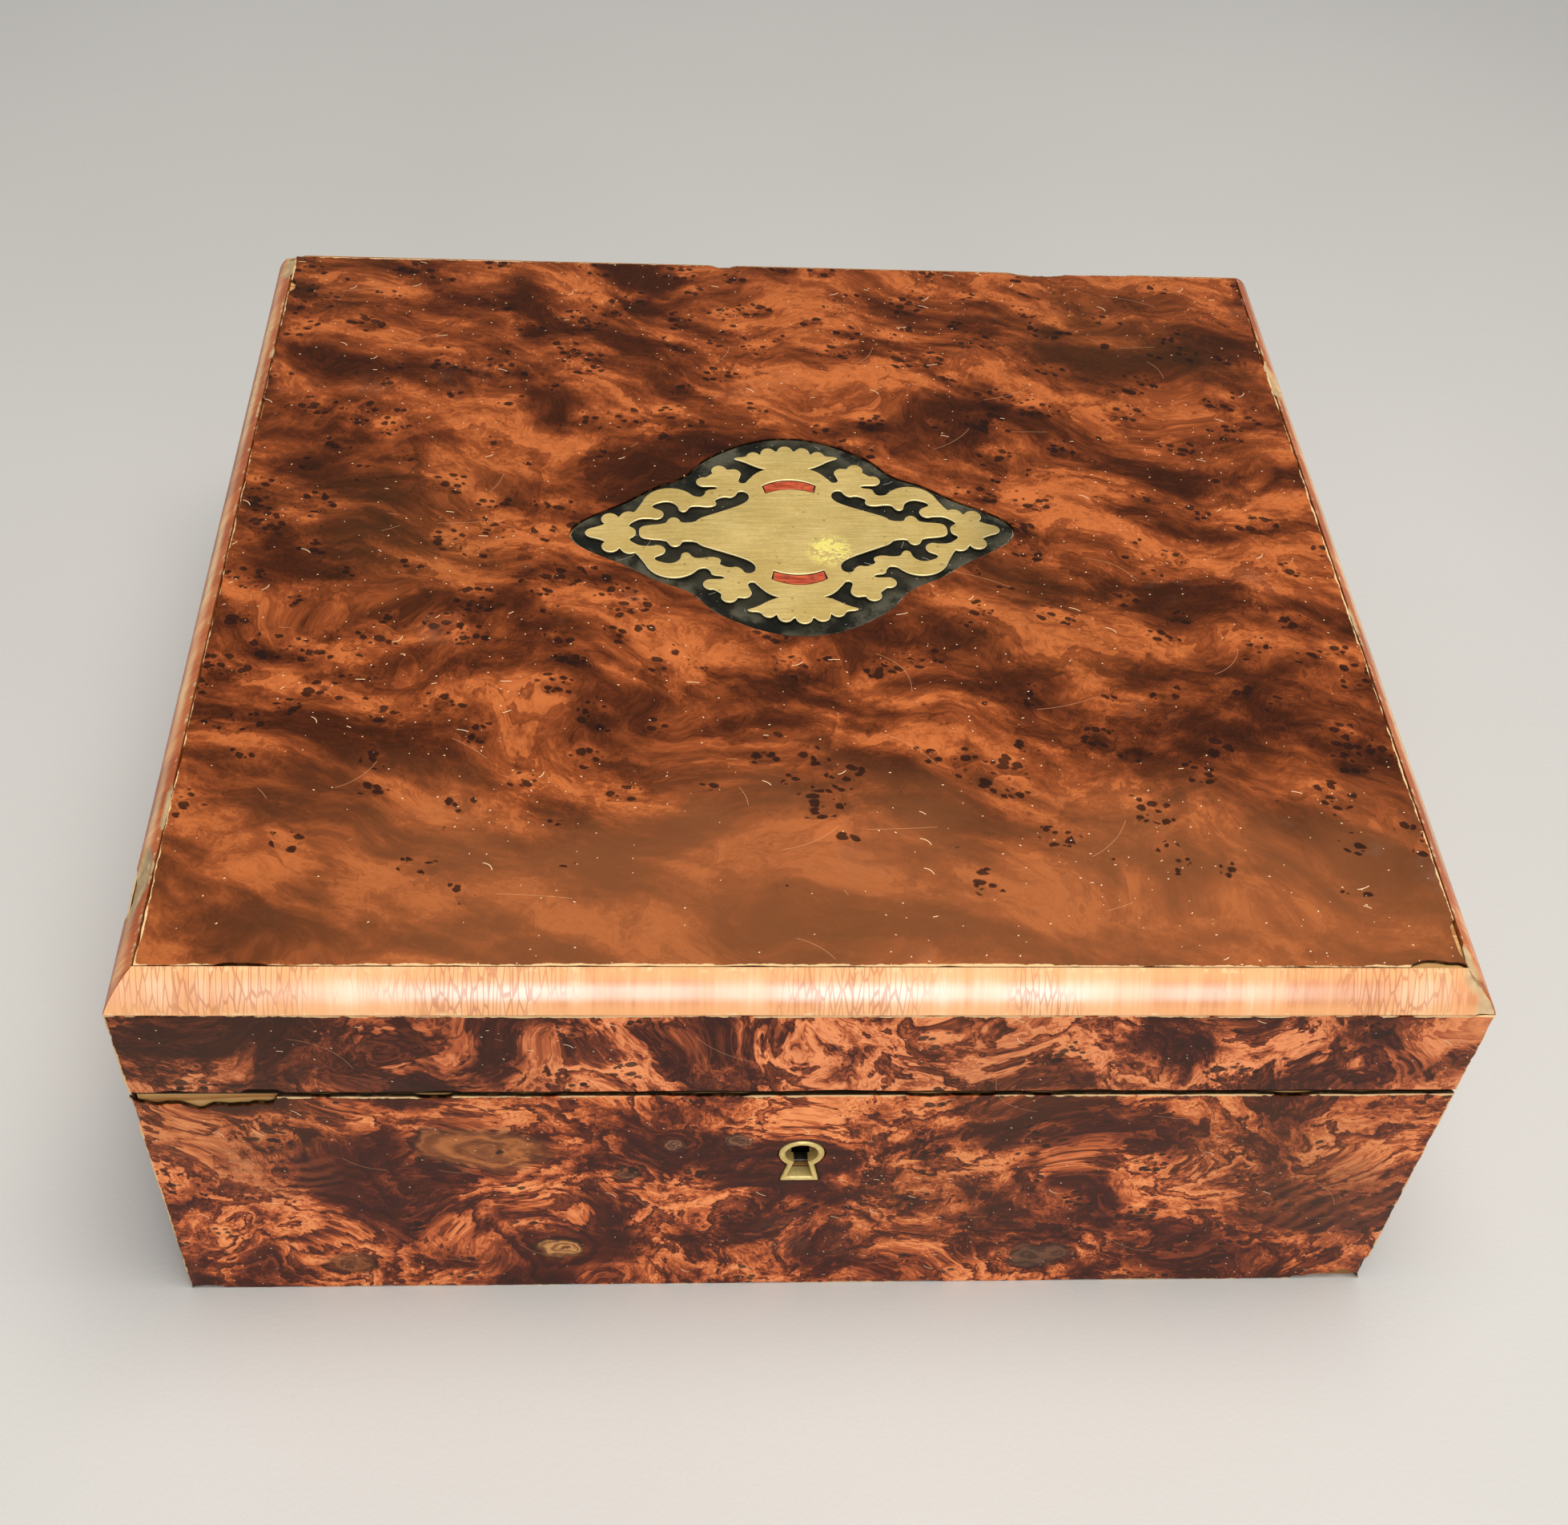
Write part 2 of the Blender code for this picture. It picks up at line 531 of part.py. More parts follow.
def make_bolt(steel):
    """A bar below the staples with an upright and a nose beside each one, and the spring under it."""
    low_y = STAPLE_Y - BOLT_THICKNESS / 2
    high_y = STAPLE_Y + BOLT_THICKNESS / 2
    bar_top = STAPLE_BOTTOM - 2 * FIT
    bar_bottom = bar_top - BOLT_BAR
    bar_middle = (bar_bottom + bar_top) / 2
    nose_bottom = EYE_Z - BOLT_NOSE / 2
    nose_top = EYE_Z + BOLT_NOSE / 2
    nose_tips = [place - STAPLE_WIDTH / 2 - FIT for place in staple_places()]
    post_edges = [tip - BOLT_TRAVEL for tip in nose_tips]
    bar_start = post_edges[0] - BOLT_POST - FIT
    bar_end = CASE_LENGTH / 2 - CASE_PLATE - BOLT_TRAVEL - FIT
    bolt = block("lock_bolt", (bar_start, low_y, bar_bottom), (bar_end, high_y, bar_top), steel)
    for tip, edge in zip(nose_tips, post_edges):
        post_start = edge - BOLT_POST
        post = block(f"post to {edge:.4f}", (post_start, low_y, bar_middle), (edge, high_y, nose_top))
        nose_start = edge - BOLT_POST / 2
        nose = block(f"nose to {tip:.4f}", (nose_start, low_y, nose_bottom), (tip, high_y, nose_top))
        join(bolt, post, nose)
    talon_bottom = bar_bottom - TALON_DROP
    join(bolt, block("talon", (-TALON_HALF, low_y, talon_bottom), (TALON_HALF, high_y, bar_middle)))

    near = 2 * TALON_HALF + BOLT_TRAVEL
    far = CASE_LENGTH / 2 - CASE_PLATE - FIT
    plan = [(near, 0.0), (far, -SPRING_SAG), (far, -SPRING_SAG - SPRING_PLATE), (near, -SPRING_PLATE)]
    stand = Matrix.Translation((0.0, 0.0, bar_bottom - FIT)) @ Matrix.Rotation(pi / 2, 4, "X")
    sheet("lock_spring", [plan], -high_y, -low_y, stand, steel)


def make_link_plate(rail, brass):
    """The lid's half of the lock: a plate let into the front rail, with two eyed staples under it."""
    low_y = STAPLE_Y - LINK_WIDTH / 2
    high_y = STAPLE_Y + LINK_WIDTH / 2
    half = LINK_LENGTH / 2
    top = LID_BOTTOM + LINK_PLATE
    plate = centred_block("lock_link_plate", 0.0, half, low_y, high_y, LID_BOTTOM, top, brass)
    cut(rail, centred_block(
        "link plate housing", 0.0, half + FIT, low_y - FIT, high_y + FIT, LID_BOTTOM - CUT_PAST, top + FIT
    ))
    half_y = STAPLE_THICKNESS / 2
    for place in staple_places():
        join(plate, centred_block(
            f"staple at {place:.3f}", place, STAPLE_WIDTH / 2, STAPLE_Y - half_y, STAPLE_Y + half_y,
            STAPLE_BOTTOM, LID_BOTTOM + LINK_PLATE / 2,
        ))
    for place in staple_places():
        cut(plate, centred_block(
            f"eye at {place:.3f}", place, STAPLE_WIDTH, STAPLE_Y - EYE_WIDTH / 2,
            STAPLE_Y + EYE_WIDTH / 2, EYE_Z - STAPLE_EYE / 2, EYE_Z + STAPLE_EYE / 2,
        ))
    screw_x = (half + STAPLE_SPACING / 2 + STAPLE_WIDTH / 2) / 2
    for side, x in (("left", -screw_x), ("right", screw_x)):
        hole = screw_hole(f"hole of link screw {side}", x, STAPLE_Y, LID_BOTTOM, True)
        cut(plate, hole)
        cut(rail, hole)
        make_screw(f"link_screw_{side}", x, STAPLE_Y, LID_BOTTOM, True, brass)


# ---------------------------------------------------------------- hinges
def make_hinge(side, middle, walls, brass, steel):
    """A butt hinge with three knuckles: two on the leaf in the back wall, one on the leaf in the lid."""
    wall, wall_veneer, rail, rail_veneer = walls
    half = LEAF_LENGTH / 2
    knuckle = LEAF_LENGTH / 3
    inner_y = AXIS_Y - KNUCKLE_BEHIND - LEAF_WIDTH
    clear = KNUCKLE_RADIUS + TURNING_PLAY
    plate_end = AXIS_Y - clear - FIT

    def leaf(name, low_z, high_z, spans, housed):
        made = centred_block(name, middle, half, inner_y, plate_end, low_z, high_z, brass)
        for count, (start, end) in enumerate(spans):
            tab = block(
                f"{name} tab {count}", (middle + start, plate_end - CUT_PAST, low_z),
                (middle + end, AXIS_Y, high_z),
            )
            barrel = rod(
                f"{name} knuckle {count}", (middle + (start + end) / 2, AXIS_Y, AXIS_Z),
                KNUCKLE_RADIUS, end - start, "X",
            )
            join(made, tab, barrel)
        cut(made, rod(f"{name} bore", (middle, AXIS_Y, AXIS_Z), PIN_RADIUS + FIT, LEAF_LENGTH * 1.2, "X"))
        housing = centred_block(
            f"{name} housing", middle, half + FIT, inner_y - FIT, BACK + CUT_PAST,
            min(low_z, AXIS_Z) - (FIT if low_z < AXIS_Z else 0.0),
            max(high_z, AXIS_Z) + (FIT if high_z > AXIS_Z else 0.0),
        )
        groove = rod(f"{name} groove", (middle, AXIS_Y, AXIS_Z), clear, LEAF_LENGTH + 2 * FIT, "X")
        for piece in housed:
            cut(piece, housing, groove)
        return made

    outer_spans = [(-half, -knuckle / 2 - FIT), (knuckle / 2 + FIT, half)]
    body_leaf = leaf(
        f"hinge_{side}_body_leaf", BODY_HEIGHT - LEAF_PLATE, BODY_HEIGHT, outer_spans, (wall, wall_veneer)
    )
    lid_leaf = leaf(
        f"hinge_{side}_lid_leaf", LID_BOTTOM, LID_BOTTOM + LEAF_PLATE,
        [(-knuckle / 2, knuckle / 2)], (rail, rail_veneer),
    )
    rod(f"hinge_{side}_pin", (middle, AXIS_Y, AXIS_Z), PIN_RADIUS, LEAF_LENGTH, "X", steel, sides=16)

    screw_y = (inner_y + plate_end) / 2
    for end, x in (("outer", middle - half * 0.6), ("inner", middle + half * 0.6)):
        for part, made, wood, z, upwards in (
            ("body", body_leaf, wall, BODY_HEIGHT, False),
            ("lid", lid_leaf, rail, LID_BOTTOM, True),
        ):
            hole = screw_hole(f"hole of {side} {part} {end} screw", x, screw_y, z, upwards)
            cut(made, hole)
            cut(wood, hole)
            make_screw(f"hinge_{side}_{part}_screw_{end}", x, screw_y, z, upwards, brass)


# ---------------------------------------------------------------- lining
def make_lining(cloth):
    inner_x = HALF_X - INNER - FIT
    inner_y = BOX_DEPTH / 2 - INNER - FIT
    pad_bottom = FLOOR + FIT
    pad_top = pad_bottom + PAD
    block(
        "lining_floor_pad", (-inner_x, MIDDLE_Y - inner_y, pad_bottom),
        (inner_x, MIDDLE_Y + inner_y, pad_top), cloth,
    )
    panel_bottom = pad_top + FIT
    panel_top = BODY_HEIGHT - RIM_MARGIN
    for side, sign in (("front", -1), ("back", 1)):
        near = MIDDLE_Y + sign * inner_y
        far = near - sign * LINING
        block(
            f"lining_{side}_panel", (-inner_x, min(near, far), panel_bottom),
            (inner_x, max(near, far), panel_top), cloth,
        )
    side_reach = inner_y - LINING - FIT
    for side, sign in (("left", -1), ("right", 1)):
        near = sign * inner_x
        far = near - sign * LINING
        block(
            f"lining_{side}_panel", (min(near, far), MIDDLE_Y - side_reach, panel_bottom),
            (max(near, far), MIDDLE_Y + side_reach, panel_top), cloth,
        )
    block(
        "lining_lid_pad", (-inner_x, MIDDLE_Y - inner_y, BOARD_BOTTOM - FIT - PAD),
        (inner_x, MIDDLE_Y + inner_y, BOARD_BOTTOM - FIT), cloth,
    )


# ---------------------------------------------------------------- the whole box
def main():
    for old in list(bpy.data.objects):
        bpy.data.objects.remove(old, do_unlink=True)

    burr = material("burr veneer", (0.36, 0.12, 0.045), 0.25)
    band = material("cross-banded veneer", (0.50, 0.20, 0.10), 0.30)
    carcass = material("carcass wood", (0.42, 0.27, 0.14), 0.60)
    brass = material("brass", (0.62, 0.48, 0.20), 0.35, 1.0)
    steel = material("steel", (0.45, 0.44, 0.42), 0.45, 1.0)
    black = material("blackened wood", (0.018, 0.016, 0.014), 0.40)
    red = material("red horn", (0.55, 0.09, 0.03), 0.30)
    cloth = material("velvet", (0.16, 0.015, 0.03), 0.90)

    make_floor(carcass)
    walls = frame_of_four("base", "wall", FLOOR + FIT, BODY_HEIGHT, carcass)
    wall_veneers = veneers_of_four("base", 0.0, BODY_HEIGHT, burr)
    rails = frame_of_four("lid", "rail", LID_BOTTOM, RAIL_TOP, carcass)
    rail_veneers = veneers_of_four("lid", LID_BOTTOM, RAIL_TOP, burr)
    make_chamfers(band)
    board = panel_inside_chamfers("lid_top_board", BOARD_BOTTOM, BOARD_TOP, carcass)
    top_veneer = panel_inside_chamfers("lid_top_veneer", LID_TOP - VENEER, LID_TOP, burr)
    make_cartouche(top_veneer, board, black, brass, red)

    make_lock(walls["front"], brass, steel)
    make_link_plate(rails["front"], brass)
    make_escutcheon(wall_veneers["front"], walls["front"], brass)
    backs = (walls["back"], wall_veneers["back"], rails["back"], rail_veneers["back"])
    for side, middle in (("left", -HINGE_SPACING / 2), ("right", HINGE_SPACING / 2)):
        make_hinge(side, middle, backs, brass, steel)
    make_lining(cloth)


main()
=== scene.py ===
from math import asin, cos, degrees, pi, radians, sin

import bmesh
import bpy
from mathutils import Matrix, Vector, noise


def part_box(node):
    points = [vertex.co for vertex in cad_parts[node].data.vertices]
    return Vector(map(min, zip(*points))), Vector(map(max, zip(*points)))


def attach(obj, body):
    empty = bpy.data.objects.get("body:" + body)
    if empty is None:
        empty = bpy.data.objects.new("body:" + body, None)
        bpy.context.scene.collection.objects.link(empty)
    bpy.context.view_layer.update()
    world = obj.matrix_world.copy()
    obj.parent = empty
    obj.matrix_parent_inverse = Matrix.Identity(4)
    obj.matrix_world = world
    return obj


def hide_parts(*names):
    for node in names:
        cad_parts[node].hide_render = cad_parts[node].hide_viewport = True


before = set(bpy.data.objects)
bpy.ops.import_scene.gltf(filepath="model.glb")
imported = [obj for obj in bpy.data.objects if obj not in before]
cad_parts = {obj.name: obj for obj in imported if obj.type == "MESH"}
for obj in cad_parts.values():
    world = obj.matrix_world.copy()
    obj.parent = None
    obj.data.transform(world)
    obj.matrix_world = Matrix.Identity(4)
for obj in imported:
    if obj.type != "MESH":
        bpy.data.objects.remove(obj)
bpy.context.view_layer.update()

# ---------------------------------------------------------------- body carcass
# Four walls and a floor of plain pale softwood, glued together at the corners. The bare wood shows
# only under the box, along the rim and where the veneer has chipped away.


def add_node(tree, kind, inputs=None, **settings):
    """Adds one node. Each input is given a value, or another node's output to follow."""
    made = tree.nodes.new("ShaderNode" + kind)
    for name, value in settings.items():
        setattr(made, name, value)
    for name, value in (inputs or {}).items():
        socket = made.inputs[name]
        if isinstance(value, bpy.types.NodeSocket):
            tree.links.new(value, socket)
        else:
            socket.default_value = value
    return made


def calc(tree, operation, first, second=0.0, third=0.0):
    """The result of one sum on numbers."""
    return add_node(tree, "Math", {0: first, 1: second, 2: third}, operation=operation).outputs[0]


def move(tree, operation, first, second=(0.0, 0.0, 0.0)):
    """The result of one sum on points."""
    return add_node(tree, "VectorMath", {0: first, 1: second}, operation=operation).outputs[0]


def enlarge(tree, point, amount):
    """A point moved away from the origin by a factor."""
    return add_node(tree, "VectorMath", {0: point, "Scale": amount}, operation="SCALE").outputs[0]


def rise(tree, value, start, end, low=0.0, high=1.0):
    """Runs smoothly from low to high while the value runs from start to end."""
    sockets = {"Value": value, "From Min": start, "From Max": end, "To Min": low, "To Max": high}
    return add_node(tree, "MapRange", sockets, interpolation_type="SMOOTHSTEP").outputs["Result"]


def clouds(tree, point, scale, detail=2.0, roughness=0.5):
    """A noise; its Fac and Color outputs are read by name."""
    sockets = {"Vector": point, "Scale": scale, "Detail": detail, "Roughness": roughness}
    return add_node(tree, "TexNoise", sockets).outputs


def cells(tree, point, scale, feature="F1"):
    """Cells of random shape; their Distance, Color and Position outputs are read by name."""
    sockets = {"Vector": point, "Scale": scale}
    return add_node(tree, "TexVoronoi", sockets, feature=feature).outputs


def over(tree, share, under, top):
    """One colour laid over another, as much as the share says."""
    return add_node(tree, "Mix", {0: share, 6: under, 7: top}, data_type="RGBA").outputs[2]


def parts_of(tree, point):
    """The X, Y and Z outputs of a point or a colour."""
    return add_node(tree, "SeparateXYZ", {"Vector": point}).outputs


def colour(red, green, blue):
    """A screen colour, 0 to 255, as the light that it stands for."""
    parts = []
    for part in (red, green, blue):
        share = part / 255
        parts.append(share / 12.92 if share <= 0.04045 else ((share + 0.055) / 1.055) ** 2.4)
    return (*parts, 1.0)


def shades(tree, share, stops):
    """A run of colours; each stop is a place from 0 to 1 and a screen colour."""
    ramp = add_node(tree, "ValToRGB", {"Fac": share})
    marks = ramp.color_ramp.elements
    while len(marks) < len(stops):
        marks.new(0.5)
    for mark, (place, tint) in zip(marks, stops):
        mark.position = place
        mark.color = colour(*tint)
    return ramp.outputs["Color"]


def new_material(name, roughness, metallic=0.0):
    """An empty finish: its nodes, its Principled shader and its Object coordinates."""
    made = bpy.data.materials.new(name)
    made.use_nodes = True
    tree = made.node_tree
    shader = tree.nodes["Principled BSDF"]
    shader.inputs["Roughness"].default_value = roughness
    shader.inputs["Metallic"].default_value = metallic
    place = add_node(tree, "TexCoord").outputs["Object"]
    return made, tree, shader, place


def emboss(tree, shader, height, depth, strength=1.0):
    """Bumps of the given depth in metres, fed to the shader."""
    bump = add_node(tree, "Bump", {"Height": height, "Distance": depth, "Strength": strength})
    tree.links.new(bump.outputs["Normal"], shader.inputs["Normal"])


def feed(tree, shader, **values):
    """Links outputs to the shader's sockets; an underscore stands for a space in a socket's name."""
    for name, value in values.items():
        tree.links.new(value, shader.inputs[name.replace("_", " ")])


def give(finish, *names):
    """Gives CAD pieces their finish."""
    for name in names:
        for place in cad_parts[name].material_slots:
            place.material = finish


def turned_place(tree, place, turn):
    """The place turned about the upright axis, so that a pattern runs along a piece's own length."""
    return add_node(tree, "Mapping", {"Vector": place, "Rotation": (0.0, 0.0, turn)}).outputs["Vector"]


def carcass_wood(name, turn, rim):
    """Planed softwood: pale yellow-brown, with darker late-wood lines along the board and a dry face.
    The edge at the rim's height is painted near-black: painted shade for the gap where the lid closes on it."""
    made, tree, shader, place = new_material(name, 0.7)
    shader.inputs["Specular IOR Level"].default_value = 0.3
    along = turned_place(tree, place, turn)
    stretched = move(tree, "MULTIPLY", along, (6.0, 60.0, 60.0))
    rings = calc(tree, "FRACT", calc(tree, "MULTIPLY", clouds(tree, stretched, 1.0, 2.0)["Fac"], 9.0))
    late = rise(tree, rings, 0.45, 0.95)
    pores = clouds(tree, move(tree, "MULTIPLY", along, (120.0, 2600.0, 2600.0)), 1.0, 2.0)["Fac"]
    base = over(tree, late, colour(214, 168, 104), colour(176, 120, 62))
    stain = rise(tree, clouds(tree, along, 24.0, 4.0)["Fac"], 0.45, 0.75, 0.0, 0.3)
    dirty = over(tree, stain, base, colour(104, 70, 40))
    grained = over(tree, rise(tree, pores, 0.3, 0.75, 0.35, 0.0), dirty, colour(96, 62, 36))
    level = parts_of(tree, place)["Z"]
    # Painted shade: the wood within half a millimetre of the rim's height is darkened almost to black,
    # standing in for the shade in the gap between lid and body.
    edge = rise(tree, calc(tree, "ABSOLUTE", calc(tree, "SUBTRACT", level, rim)), 0.0005, 0.0002, 0.0, 0.92)
    blackened = over(tree, edge, grained, colour(24, 16, 12))
    feed(tree, shader, Base_Color=blackened, Roughness=rise(tree, pores, 0.3, 0.7, 0.82, 0.6))
    emboss(tree, shader, calc(tree, "ADD", pores, late), 0.00012, 0.5)
    return made


rim_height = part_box("base_front_wall")[1].z
wood_lengthways = carcass_wood("carcass wood lengthways", 0.0, rim_height)
wood_crossways = carcass_wood("carcass wood crossways", pi / 2, rim_height)
give(wood_lengthways, "base_floor", "base_front_wall", "base_back_wall")
give(wood_crossways, "base_left_wall", "base_right_wall")


# ---------------------------------------------------------------- body veneers
# Sheets of thuya burr a little under a millimetre thick, glued on and French polished. The burr is a
# growth full of buds: dark pips in flocks, with the grain swirling round them in bright ribbons.
sheet_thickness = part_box("base_front_veneer")[1].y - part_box("base_front_veneer")[0].y
front_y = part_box("base_front_veneer")[0].y
back_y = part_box("base_back_veneer")[1].y
middle_y = (front_y + back_y) / 2
half_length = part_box("base_right_veneer")[1].x
half_depth = (back_y - front_y) / 2
body_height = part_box("base_front_veneer")[1].z


def new_group(name, inputs, outputs):
    """A shader node group with named sockets: its tree, what comes in and what goes out."""
    group = bpy.data.node_groups.new(name, "ShaderNodeTree")
    for label, kind, value in inputs:
        socket = group.interface.new_socket(label, in_out="INPUT", socket_type="NodeSocket" + kind)
        socket.default_value = value
    for label, kind in outputs:
        group.interface.new_socket(label, in_out="OUTPUT", socket_type="NodeSocket" + kind)
    entry = group.nodes.new("NodeGroupInput")
    leave = group.nodes.new("NodeGroupOutput")
    return group, entry.outputs, leave.inputs


def placed_group(tree, group, inputs):
    """The outputs of a group placed in a material with its own values."""
    return add_node(tree, "Group", inputs, node_tree=group).outputs


def make_burr_figure():
    """The figure of burr wood: ribbons, fibres, pips and their halos, from swirled coordinates."""
    tree, given, leave = new_group(
        "burr figure",
        [
            ("Vector", "Vector", (0.0, 0.0, 0.0)), ("Flow", "Vector", (20.0, 50.0, 50.0)),
            ("Swirl", "Float", 1.0), ("Bands", "Float", 5.0), ("Pips", "Float", 0.5), ("Bulge", "Float", 0.0),
            ("Pip Spacing", "Float", 0.0019), ("Flock Spacing", "Float", 0.0092),
        ],
        [
            ("Ribbon", "Float"), ("Fibre", "Float"), ("Pip", "Float"), ("Halo", "Float"),
            ("Shade", "Float"), ("Cloud", "Float"),
        ],
    )
    centre = (0.5, 0.5, 0.5)
    wide = move(tree, "SUBTRACT", clouds(tree, given["Vector"], 16.0, 2.0)["Color"], centre)
    drift = calc(tree, "MULTIPLY", given["Swirl"], 0.05)
    bent = move(tree, "ADD", given["Vector"], enlarge(tree, wide, drift))
    tight = move(tree, "SUBTRACT", clouds(tree, bent, 75.0, 4.0, 0.6)["Color"], centre)
    curled = move(tree, "ADD", bent, enlarge(tree, tight, calc(tree, "MULTIPLY", given["Swirl"], 0.017)))
    nudged = move(tree, "ADD", given["Vector"], enlarge(tree, tight, 0.005))

    # pips stand in flocks, each with a swelling of the grain round it and a lit and a shaded side
    small = calc(tree, "DIVIDE", 1.0, given["Pip Spacing"])
    large = calc(tree, "DIVIDE", 1.0, given["Flock Spacing"])
    flat = move(tree, "MULTIPLY", nudged, (0.75, 1.0, 1.0))
    spots = cells(tree, flat, small)
    flocks = cells(tree, flat, large)
    luck = parts_of(tree, flocks["Color"])
    chosen = calc(tree, "LESS_THAN", luck["X"], given["Pips"])
    reach = rise(tree, luck["Y"], 0.0, 1.0, 0.27, 0.47)
    inside = calc(tree, "SUBTRACT", reach, flocks["Distance"])
    flock = calc(tree, "MULTIPLY", chosen, rise(tree, inside, -0.12, 0.16))
    spot_luck = parts_of(tree, spots["Color"])
    size = rise(tree, spot_luck["X"], 0.1, 0.9, 0.18, 0.56)
    size = calc(tree, "MULTIPLY", size, rise(tree, flock, 0.0, 0.5))
    pip = rise(tree, calc(tree, "SUBTRACT", size, spots["Distance"]), -0.05, 0.12)
    swell = calc(tree, "MULTIPLY", flock, rise(tree, spots["Distance"], 0.9, 0.1))
    around = move(tree, "SUBTRACT", flat, flocks["Position"])
    side = parts_of(tree, enlarge(tree, around, large))
    lean = calc(tree, "ADD", side["Y"], side["Z"])
    lean = calc(tree, "MULTIPLY_ADD", side["X"], -0.5, lean)
    near = calc(tree, "MULTIPLY", chosen, rise(tree, inside, -0.10, 0.16))
    shade = calc(tree, "MULTIPLY", near, calc(tree, "MULTIPLY", lean, 0.7))

    # broad ribbons with finer ones between them, and fibres that follow both
    field = clouds(tree, move(tree, "MULTIPLY", curled, given["Flow"]), 1.0, 3.0, 0.5)["Fac"]
    banded = calc(tree, "MULTIPLY_ADD", field, given["Bands"], given["Bulge"])
    banded = calc(tree, "MULTIPLY_ADD", swell, 0.45, banded)
    saw = calc(tree, "FRACT", banded)
    broad = calc(tree, "MULTIPLY", rise(tree, saw, 0.05, 0.72), rise(tree, saw, 1.0, 0.86))
    finer = clouds(tree, move(tree, "MULTIPLY", curled, given["Flow"]), 3.1, 3.0, 0.55)["Fac"]
    fine_saw = calc(tree, "FRACT", calc(tree, "MULTIPLY", calc(tree, "MULTIPLY_ADD", swell, 0.2, finer), 6.0))
    slender = calc(tree, "MULTIPLY", rise(tree, fine_saw, 0.0, 0.8), rise(tree, fine_saw, 1.0, 0.84))
    ribbon = calc(tree, "MULTIPLY_ADD", slender, 0.42, calc(tree, "MULTIPLY", broad, 0.72))
    lines = calc(tree, "PINGPONG", calc(tree, "MULTIPLY", banded, 6.0), 0.5)
    streak = clouds(tree, move(tree, "MULTIPLY", curled, (170.0, 1700.0, 1700.0)), 1.0, 2.0)["Fac"]
    fibre = calc(tree, "MULTIPLY_ADD", lines, 0.8, calc(tree, "MULTIPLY", streak, 0.6))
    cloud = clouds(tree, move(tree, "MULTIPLY", bent, given["Flow"]), 0.75, 4.0, 0.6)["Fac"]
    tree.links.new(ribbon, leave["Ribbon"])
    tree.links.new(fibre, leave["Fibre"])
    tree.links.new(pip, leave["Pip"])
    tree.links.new(swell, leave["Halo"])
    tree.links.new(shade, leave["Shade"])
    tree.links.new(cloud, leave["Cloud"])
    return tree


burr_figure = make_burr_figure()


def make_edge_wear():
    """How worn a flat piece's edge is: 1 at the rim of a box of the given half size, ragged inwards."""
    tree, given, leave = new_group(
        "edge wear",
        [
            ("Vector", "Vector", (0.0, 0.0, 0.0)), ("Middle", "Vector", (0.0, 0.0, 0.0)),
            ("Half Size", "Vector", (1.0, 1.0, 1.0)), ("Width", "Float", 0.0004),
        ],
        [("Wear", "Float")],
    )
    offset = move(tree, "ABSOLUTE", move(tree, "SUBTRACT", given["Vector"], given["Middle"]))
    inner = move(tree, "SUBTRACT", given["Half Size"], offset)
    room = parts_of(tree, inner)
    depth = calc(tree, "MINIMUM", calc(tree, "MINIMUM", room["X"], room["Y"]), room["Z"])
    ragged = clouds(tree, given["Vector"], 260.0, 4.0, 0.65)["Fac"]
    patchy = clouds(tree, given["Vector"], 30.0, 2.0)["Fac"]
    reach = calc(tree, "MULTIPLY", rise(tree, calc(tree, "ADD", ragged, patchy), 0.75, 1.35), given["Width"])
    wear = rise(tree, calc(tree, "SUBTRACT", depth, calc(tree, "MULTIPLY", reach, 2.2)), 0.0001, -0.0001)
    tree.links.new(wear, leave["Wear"])
    return tree


def strokes(tree, given, spacing, share, longest, width):
    """Short curved strokes within a sheet, one at most in each cell, lying every way."""
    flat = move(tree, "MULTIPLY", given["Vector"], given["Plane"])
    lots = cells(tree, flat, 1 / spacing)
    luck = parts_of(tree, lots["Color"])
    aim = move(tree, "MULTIPLY", move(tree, "SUBTRACT", lots["Color"], (0.5, 0.5, 0.5)), given["Plane"])
    aim = move(tree, "NORMALIZE", aim)
    facing = move(tree, "SUBTRACT", (1.0, 1.0, 1.0), given["Plane"])
    aside = move(tree, "CROSS_PRODUCT", aim, facing)
    offset = move(tree, "MULTIPLY", move(tree, "SUBTRACT", flat, lots["Position"]), given["Plane"])
    along = add_node(tree, "VectorMath", {0: offset, 1: aim}, operation="DOT_PRODUCT").outputs["Value"]
    across = add_node(tree, "VectorMath", {0: offset, 1: aside}, operation="DOT_PRODUCT").outputs["Value"]
    curve = calc(tree, "MULTIPLY", calc(tree, "SUBTRACT", luck["Y"], 0.5), 0.9 / longest)
    bent = calc(tree, "MULTIPLY_ADD", calc(tree, "MULTIPLY", along, along), curve, across)
    reach = rise(tree, luck["Z"], 0.2, 1.0, width, longest)
    line = rise(tree, calc(tree, "ABSOLUTE", bent), width, width * 0.4)
    ended = rise(tree, calc(tree, "SUBTRACT", reach, calc(tree, "ABSOLUTE", along)), 0.0, width)
    chosen = calc(tree, "LESS_THAN", luck["X"], share)
    return calc(tree, "MULTIPLY", chosen, calc(tree, "MULTIPLY", line, ended))


